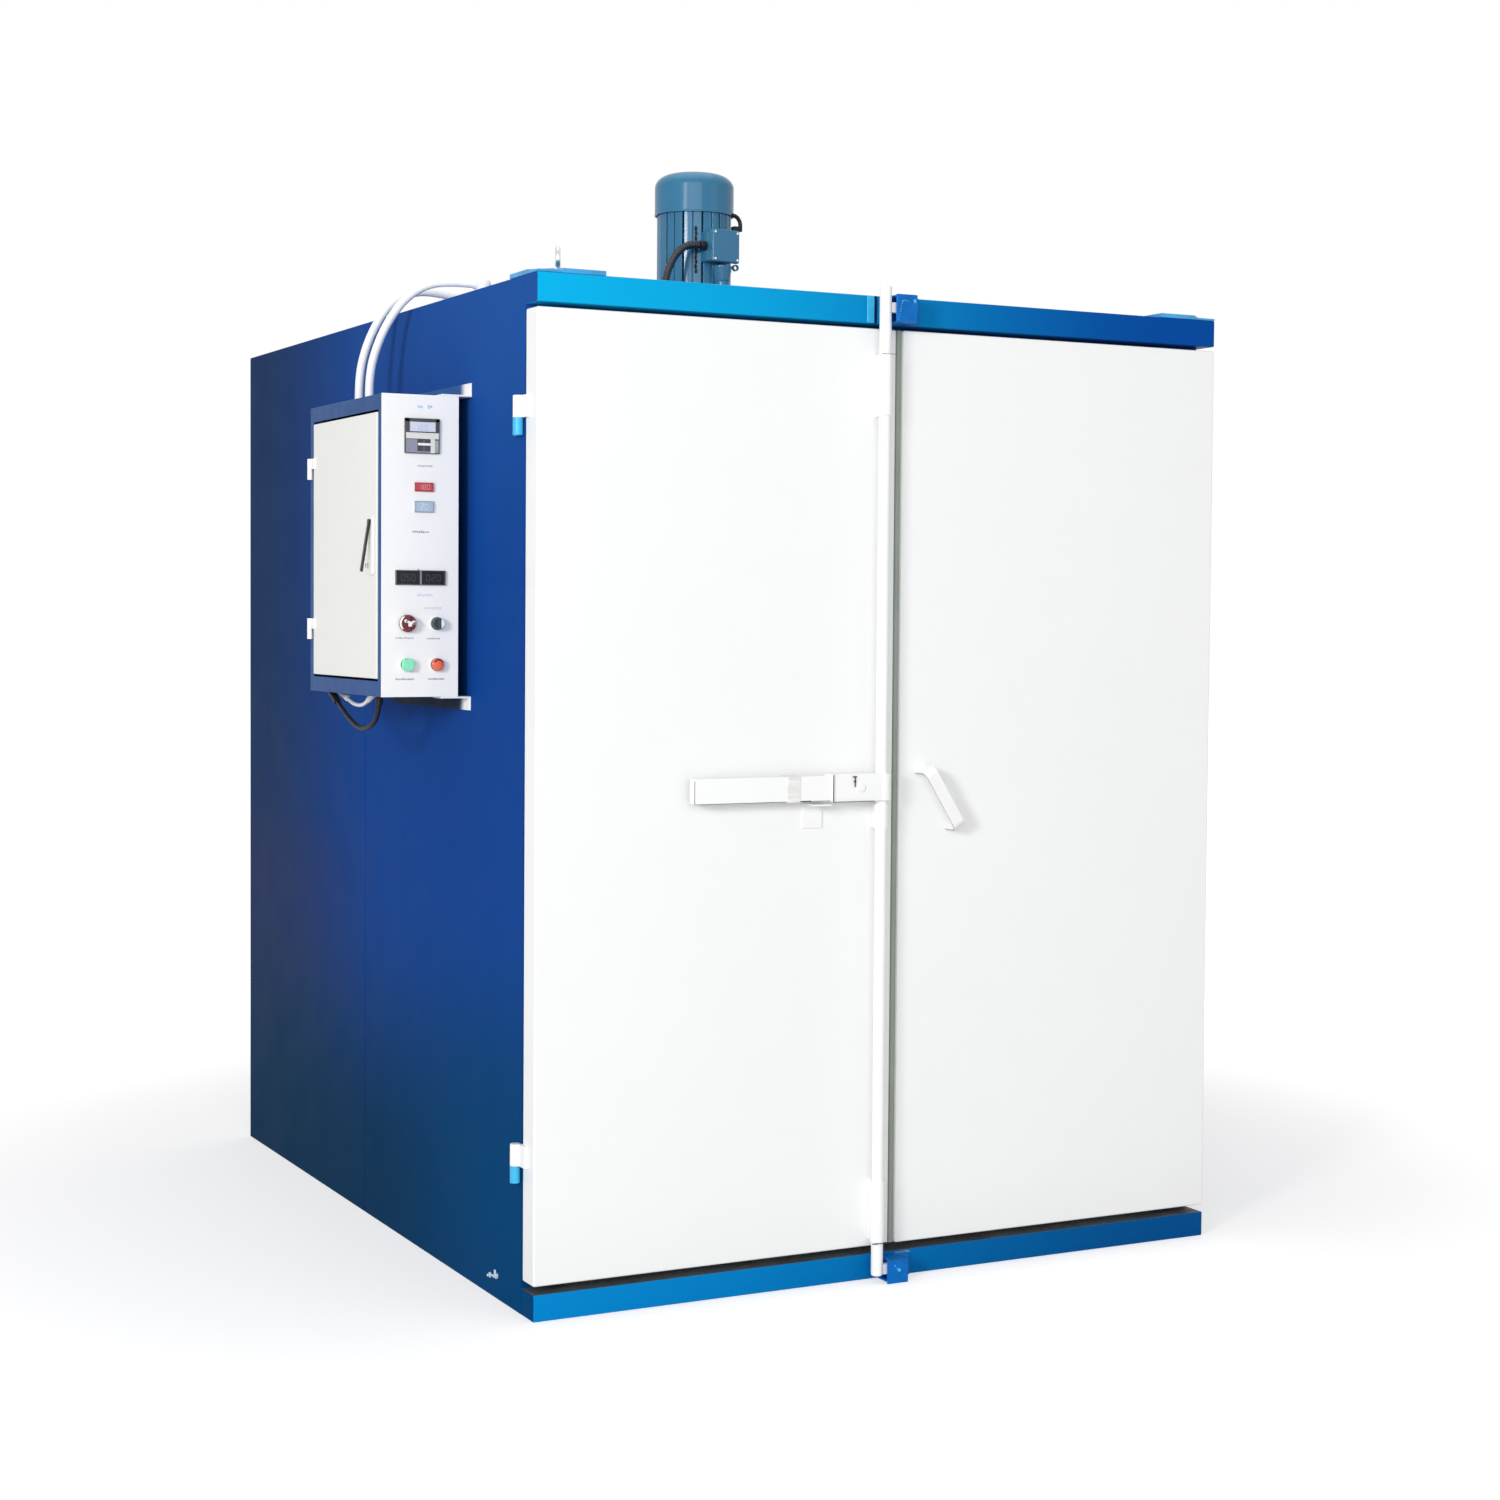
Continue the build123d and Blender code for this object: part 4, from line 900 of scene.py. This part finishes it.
bm = bmesh.new()
for across, along, wide, tall, turn in (
        (0.0015, 0.0022, 0.0230, 0.0048, 12), (0.0010, -0.0030, 0.0085, 0.0080, 0),
        (-0.0085, 0.0050, 0.0060, 0.0070, -25), (0.0095, 0.0020, 0.0060, 0.0080, 10)):
    add_mark(bm, (-wide / 2, -0.0184, -tall / 2), (wide / 2, -0.0135, tall / 2), 0.0008,
             radians(turn), across, along)
# Six small white slabs along the left knob's left rim are a painted highlight.
for step in range(6):
    angle = radians(135 + step * 16)
    add_mark(bm, (-0.0008, -0.0142, -0.0028), (0.0008, -0.0030, 0.0028), 0.0004, -angle,
             0.0178 * cos(angle), 0.0178 * sin(angle))
piece_from(bm, "left_knob_marks_and_painted_highlight", "left_knob", bar_paint, "panel_paint")
piece_of(add_plate, "right_knob_mark", "right_knob", bar_paint, "panel_paint",
         (arc((right_x + 0.0012, knob_face - 0.0130, knob_height), 0.0108, range(-84, 85, 12)),
          (0, -0.0018, 0), 0.0004))

# %% Push buttons: a flat head on a round stem
button_height, head_depth, stem_radius = panel_foot + 0.071, 0.006, 0.0105
square_half, corner, round_radius = 0.0134, 0.0085, 0.0136
for node, x, material, slot in (("green_button", left_x, green_lens, "green_cap"),
                                ("orange_button", right_x, orange_lens, "orange_cap")):
    low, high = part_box(node)
    head_back = low.y + head_depth
    bm = bmesh.new()
    add_round(bm, (x, high.y, button_height), (x, head_back - 0.001, button_height), stem_radius)
    if node == "green_button":
        outline = []
        for start, side_x, side_z in ((0, 1, 1), (90, -1, 1), (180, -1, -1), (270, 1, -1)):
            middle = (x + side_x * (square_half - corner), head_back,
                      button_height + side_z * (square_half - corner))
            outline += arc(middle, corner, range(start, start + 91, 15))
        add_plate(bm, outline, (0, -head_depth + 0.0001, 0), 0.0016)
    else:
        add_spun(bm, [(0.0, 0.0), (round_radius, 0.0), (round_radius, head_depth - 0.0020),
                      (round_radius * 0.90, head_depth - 0.0007), (0.0, head_depth - 0.0003)],
                 centre=(x, head_back, button_height), axis=(0, -1, 0), steps=48)
    piece_from(bm, node + "_lens", node, material, slot, replaces=(node,), sharp=45)
dark_side = arc((right_x, low.y + 0.0008, button_height), 0.0126, range(20, 156, 9))
dark_side += arc((right_x, low.y + 0.0008, button_height + 0.0015), 0.0080,
                 range(150, 24, -9), tall=0.0075)
piece_of(add_plate, "orange_button_dark_side", "orange_button", dark_red, "orange_cap",
         (dark_side, (0, -0.0007, 0)))

# %% [markdown]
# ## Small fittings
# These are too small for the CAD model but catch the eye: weld lumps with painted glints
# on the keeps, a painted reflection and a painted shade line on the header, painted shade
# lines at the guides and the lever, the earth stud, the lock of the control box, a worn
# patch on the sill, and what hangs round the motor's terminal box, with a strip of painted
# shade behind it. Each is a few primitive shapes placed where the photo shows it.

# %% Weld lumps on the keeps: x, z, size
keep_front = -1.1175
upper_lumps = (
    (-0.0385, 2.144, 0.0035), (-0.0372, 2.150, 0.0035), (-0.0358, 2.156, 0.0035),
    (-0.0345, 2.162, 0.0036), (-0.0330, 2.168, 0.0036), (-0.0318, 2.174, 0.0036),
    (-0.0305, 2.180, 0.0036), (-0.0285, 2.185, 0.0038), (-0.0235, 2.1865, 0.0036),
    (-0.0180, 2.186, 0.0036), (-0.0130, 2.184, 0.0034), (0.0030, 2.186, 0.0050))
lower_lumps = (
    (-0.0240, 0.0400, 0.0040), (-0.0205, 0.0360, 0.0036), (-0.0180, 0.0320, 0.0040),
    (-0.0130, 0.0290, 0.0055), (0.0015, 0.0187, 0.0036), (-0.0300, 0.0260, 0.0034))
# The lumps are in a lighter cyan than the keep: real weld lumps with painted glints.
piece_of(add_lump, "keep_weld_lumps_with_painted_glints", "oven", hinge_paint, "beam_paint",
         *(((x, keep_front + reach, z), size, (1, 0.7, tall))
           for lumps, reach, tall in ((upper_lumps, 0.0022, 1.25), (lower_lumps, 0.0024, 1.1))
           for x, z, size in lumps), sharp=80)
print("weld lumps", len(upper_lumps + lower_lumps))

# %% Painted reflection of the bar on the header, and a painted shade line beside it
plate_front, plate_back, plate_right = -1.0589, -1.0574, -0.0665
piece_of(add_slab, "header_painted_bar_reflection", "oven", hinge_paint, "beam_paint",
         ((-0.0845, plate_front, 2.1405), (plate_right, plate_back, 2.1985), 0.0006, 1))
piece_of(add_slab, "header_painted_shade_line", "oven", painted_shade_blue, "wall_paint",
         ((plate_right, plate_front, 2.1385), (-0.0600, plate_back, 2.1995), 0.0004, 1))

# %% Painted shade lines at the ends of the bar guides
guide_low, guide_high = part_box("bar_guides")
line_front, line_back = guide_low.y - 0.0001, guide_low.y + 0.0030
piece_of(add_slab, "upper_guide_painted_shade_line", "left_door", ink_and_painted_shade, "bar_paint",
         ((guide_low.x, line_front, guide_high.z - 0.0012),
          (guide_high.x, line_back, guide_high.z + 0.0004)))
piece_of(add_slab, "lower_guide_painted_shadow_line", "left_door", painted_shadow_grey, "bar_paint",
         ((guide_low.x - 0.0040, line_front, guide_low.z - 0.0012),
          (guide_high.x, line_back, guide_low.z + 0.0008)))

# %% Lever: painted shade lines along its case and channel, under it and at the catch, and the key
case_low, case_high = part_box("lever_case")
channel_low, channel_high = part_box("lever_channel")
gap_right, catch_left, catch_right, catch_foot = -0.3020, -0.2680, -0.2420, 1.0845
joint_front, joint_back = case_low.y + 0.0002, case_low.y + 0.0016
piece_of(add_slab, "lever_painted_shade_lines", "lock_bar", painted_shadow_grey, "bar_paint",
         ((case_low.x - 0.0004, joint_front, case_low.z),
          (case_low.x + 0.0012, joint_back, case_high.z)),
         ((case_low.x, joint_front, case_low.z - 0.0008),
          (case_low.x + 0.1040, joint_back, case_low.z + 0.0006)),
         ((channel_low.x + 0.002, channel_low.y + 0.0008, channel_low.z - 0.0009),
          (gap_right, channel_low.y + 0.0060, channel_low.z + 0.0004)),
         ((channel_low.x - 0.0004, channel_low.y + 0.0002, channel_low.z),
          (channel_low.x + 0.0006, channel_low.y + 0.0014, channel_high.z - 0.004)),
         ((catch_left, channel_low.y - 0.0006, catch_foot),
          (catch_right, channel_low.y + 0.0060, catch_foot + 0.0030), 0.0010, 1))
key_x, key_front, key_back = -0.1385, case_low.y - 0.0001, case_low.y + 0.0010
piece_of(add_slab, "lever_case_key", "lock_bar", black_plastic, "black_plastic",
         *(((key_x - left, key_front, foot), (key_x + right, key_back, top), 0.0005, 1)
           for left, right, foot, top in ((0.0015, 0.0015, 1.1150, 1.1390),
                                          (0.0065, 0.0045, 1.1360, 1.1388),
                                          (0.0035, 0.0020, 1.1250, 1.1290))))

# %% Worn paint on the sill
patch_steps, patch_x, patch_z, patch_y = 26, 0.018, 0.0480, -1.0573
scuff_random = Random(3)
outline = []
for step in range(patch_steps):
    angle = step * 2 * pi / patch_steps
    reach = scuff_random.uniform(0.80, 1.12)
    outline.append((patch_x + 0.034 * reach * cos(angle), patch_y,
                    patch_z + 0.0062 * reach * sin(angle) + 0.003 * cos(angle)))
piece_of(add_plate, "sill_worn_patch", "oven", worn_grey, "grey_steel",
         (outline, (0, -0.0005, 0)))

# %% Earth stud on the left wall, with a clamp beside it and the lead between them
wall_x, washer_x = -0.870, -0.8740
stud, clamp = (-0.815, 0.0455), (-0.852, 0.0520)
bm = bmesh.new()
for place, start, end, radius, sides, bevel in (
        (stud, wall_x, washer_x, 0.0062, 28, 0.0008),
        (stud, washer_x, -0.8790, 0.0032, 20, 0.0006),
        (clamp, wall_x, washer_x, 0.0070, 28, 0.0010),
        (clamp, washer_x, -0.8800, 0.0034, 20, 0.0006)):
    add_round(bm, (start, *place), (end, *place), radius, sides, bevel)
add_slab(bm, (-0.8770, -0.857, 0.0480), (washer_x, -0.848, 0.0660), 0.0012)
add_round(bm, (-0.8725, *stud), (-0.8725, *clamp), 0.0022, sides=16)
piece_from(bm, "earth_stud", "oven", pale_steel, "zinc_steel")

# %% Lock cylinder beside the box lever
piece_of(add_spun, "box_lock_cylinder", "box_door", zinc, "panel_paint",
         ([(0.0, 0.0), (0.0068, 0.0), (0.0068, 0.0020), (0.0058, 0.0030), (0.0, 0.0030)],
          (-1.0860, -0.6080, 1.5930), (-1, 0, 0), 32))
piece_of(add_slab, "box_lock_key_slot", "box_door", black_plastic, "black_plastic",
         ((-1.0894, -0.6088, 1.5895), (-1.0888, -0.6072, 1.5965)))

# %% Round the terminal box: a black strip of painted shade behind it, the elbow over it and the gland under it
piece_of(add_lump, "terminal_box_painted_shade_strip", "oven", black_rubber, "black_rubber",
         *(((-0.0375 - 0.0012 * (index % 2), -0.0900, 2.368 + 0.0120 * index), 0.0040,
            (0.8, 1, 1.6)) for index in range(10)), sharp=80)
elbow_radius = 0.0052
elbow = [(x, -0.110, z) for x, z in ((0.054, 2.514), (0.063, 2.513), (0.071, 2.508),
                                     (0.0765, 2.500), (0.0785, 2.490), (0.0785, 2.474))]
bm = bmesh.new()
for before, after in zip(elbow, elbow[1:]):
    add_round(bm, before, after, elbow_radius, sides=16)
for joint in elbow[1:-1]:
    add_lump(bm, joint, elbow_radius + 0.0001)
add_slab(bm, (0.056, -0.118, 2.474), (0.078, -0.100, 2.486), 0.002)
piece_from(bm, "motor_cable_elbow", "oven", black_rubber, "black_rubber", sharp=60)
gland_foot, gland_top = 2.292, 2.386
neck = [(0.0, gland_foot), (0.0175, gland_foot), (0.0190, 2.340)]
neck += [(0.0195 + 0.0055 * step / 8 + 0.0012 * (step % 2), 2.342 + 0.0050 * step)
         for step in range(9)]
eye = [(0.0052, -0.004), (0.0084, -0.004), (0.0084, 0.004), (0.0052, 0.004), (0.0052, -0.004)]
piece_of(add_spun, "terminal_box_gland", "oven", motor_paint, "motor_paint",
         (neck + [(0.0, gland_top)], (0.0260, -0.1120, 0.0), (0, 0, 1), 40),
         (eye, (0.0640, -0.1120, 2.3800), (0, 1, 0), 32), sharp=50)

# %% [markdown]
# ## Stage and lights
# The photograph is lit from the upper left, where a large window or lamp throws the
# handle's shadow to the right, and its background is white. Large area lamps give the
# same soft shade. The floor and the sky are whitened only where they are seen, straight,
# in a shine or through glass, so that they don't light the paint any more than they
# should and the shadow on the floor stays.

# %% Which rays see the stage
def shown_ray(tree):
    """1 for a ray from the camera, from a shine or through glass, and 0 for light."""
    seen = tree.nodes.new("ShaderNodeLightPath").outputs
    either = add_node(tree, "Math", {0: seen["Is Camera Ray"], 1: seen["Is Glossy Ray"]},
                      "Value", operation="MAXIMUM")
    return add_node(tree, "Math", {0: either, 1: seen["Is Transmission Ray"]}, "Value",
                    operation="MAXIMUM")


# %% Floor, whiter from near to far
near, far, near_lift, far_lift = 1.6, 3.6, 0.50, 0.80
bm = bmesh.new()
bmesh.ops.create_grid(bm, x_segments=1, y_segments=1, size=30)
mesh = bpy.data.meshes.new("studio_floor")
bm.to_mesh(mesh)
bm.free()
studio_floor = add_object("studio_floor", mesh)
floor_finish = bpy.data.materials.new("studio_floor")
floor_finish.use_nodes = True
tree = floor_finish.node_tree
distance = add_node(tree, "VectorMath", {0: add_node(tree, "TexCoord", {}, "Object")}, "Value",
                    operation="LENGTH")
rise = add_node(tree, "MapRange", {
    "Value": distance, "From Min": near, "From Max": far, "To Min": near_lift,
    "To Max": far_lift}, "Result", interpolation_type="SMOOTHSTEP")
lift = add_node(tree, "Math", {0: shown_ray(tree), 1: rise}, "Value", operation="MULTIPLY")
fill_inputs(tree, tree.nodes["Principled BSDF"], {
    "Base Color": (0.62, 0.62, 0.62, 1), "Roughness": 0.9, "Specular IOR Level": 0.1,
    "Emission Color": (1, 1, 1, 1), "Emission Strength": lift})
studio_floor.data.materials.append(floor_finish)

# %% Sky
world = bpy.data.worlds.new("studio")
bpy.context.scene.world = world
world.use_nodes = True
tree = world.node_tree
sky_light, sky_seen = 0.50, 1.0
strength = add_node(tree, "MapRange", {
    "Value": shown_ray(tree), "To Min": sky_light, "To Max": sky_seen}, "Result")
fill_inputs(tree, tree.nodes["Background"], {"Color": (1, 1, 1, 1), "Strength": strength})


# %% Lamps
def area_lamp(name, place, target, size, power):
    lamp = bpy.data.lights.new(name, "AREA")
    lamp.shape = "RECTANGLE"
    lamp.size, lamp.size_y = size
    lamp.energy = power
    turn = (Vector(target) - Vector(place)).to_track_quat("-Z", "Y").to_matrix().to_4x4()
    add_object(name, lamp).matrix_world = Matrix.Translation(place) @ turn


area_lamp("window", (-8.6, -6.8, 3.3), (0.0, -1.06, 1.1), (1.8, 1.8), 490)
area_lamp("front_fill", (-5.0, -11.8, 3.4), (0.0, -1.0, 1.2), (8.5, 5.5), 430)
area_lamp("right_fill", (5.5, -8.5, 2.5), (0.5, -1.0, 1.2), (4.0, 4.0), 38)
area_lamp("roof_soft", (0.0, 0.0, 6.0), (0.0, 0.0, 2.0), (4.0, 4.0), 60)
bpy.context.scene.view_settings.view_transform = "Standard"
print("lamps", [lamp.name for lamp in bpy.data.lights])
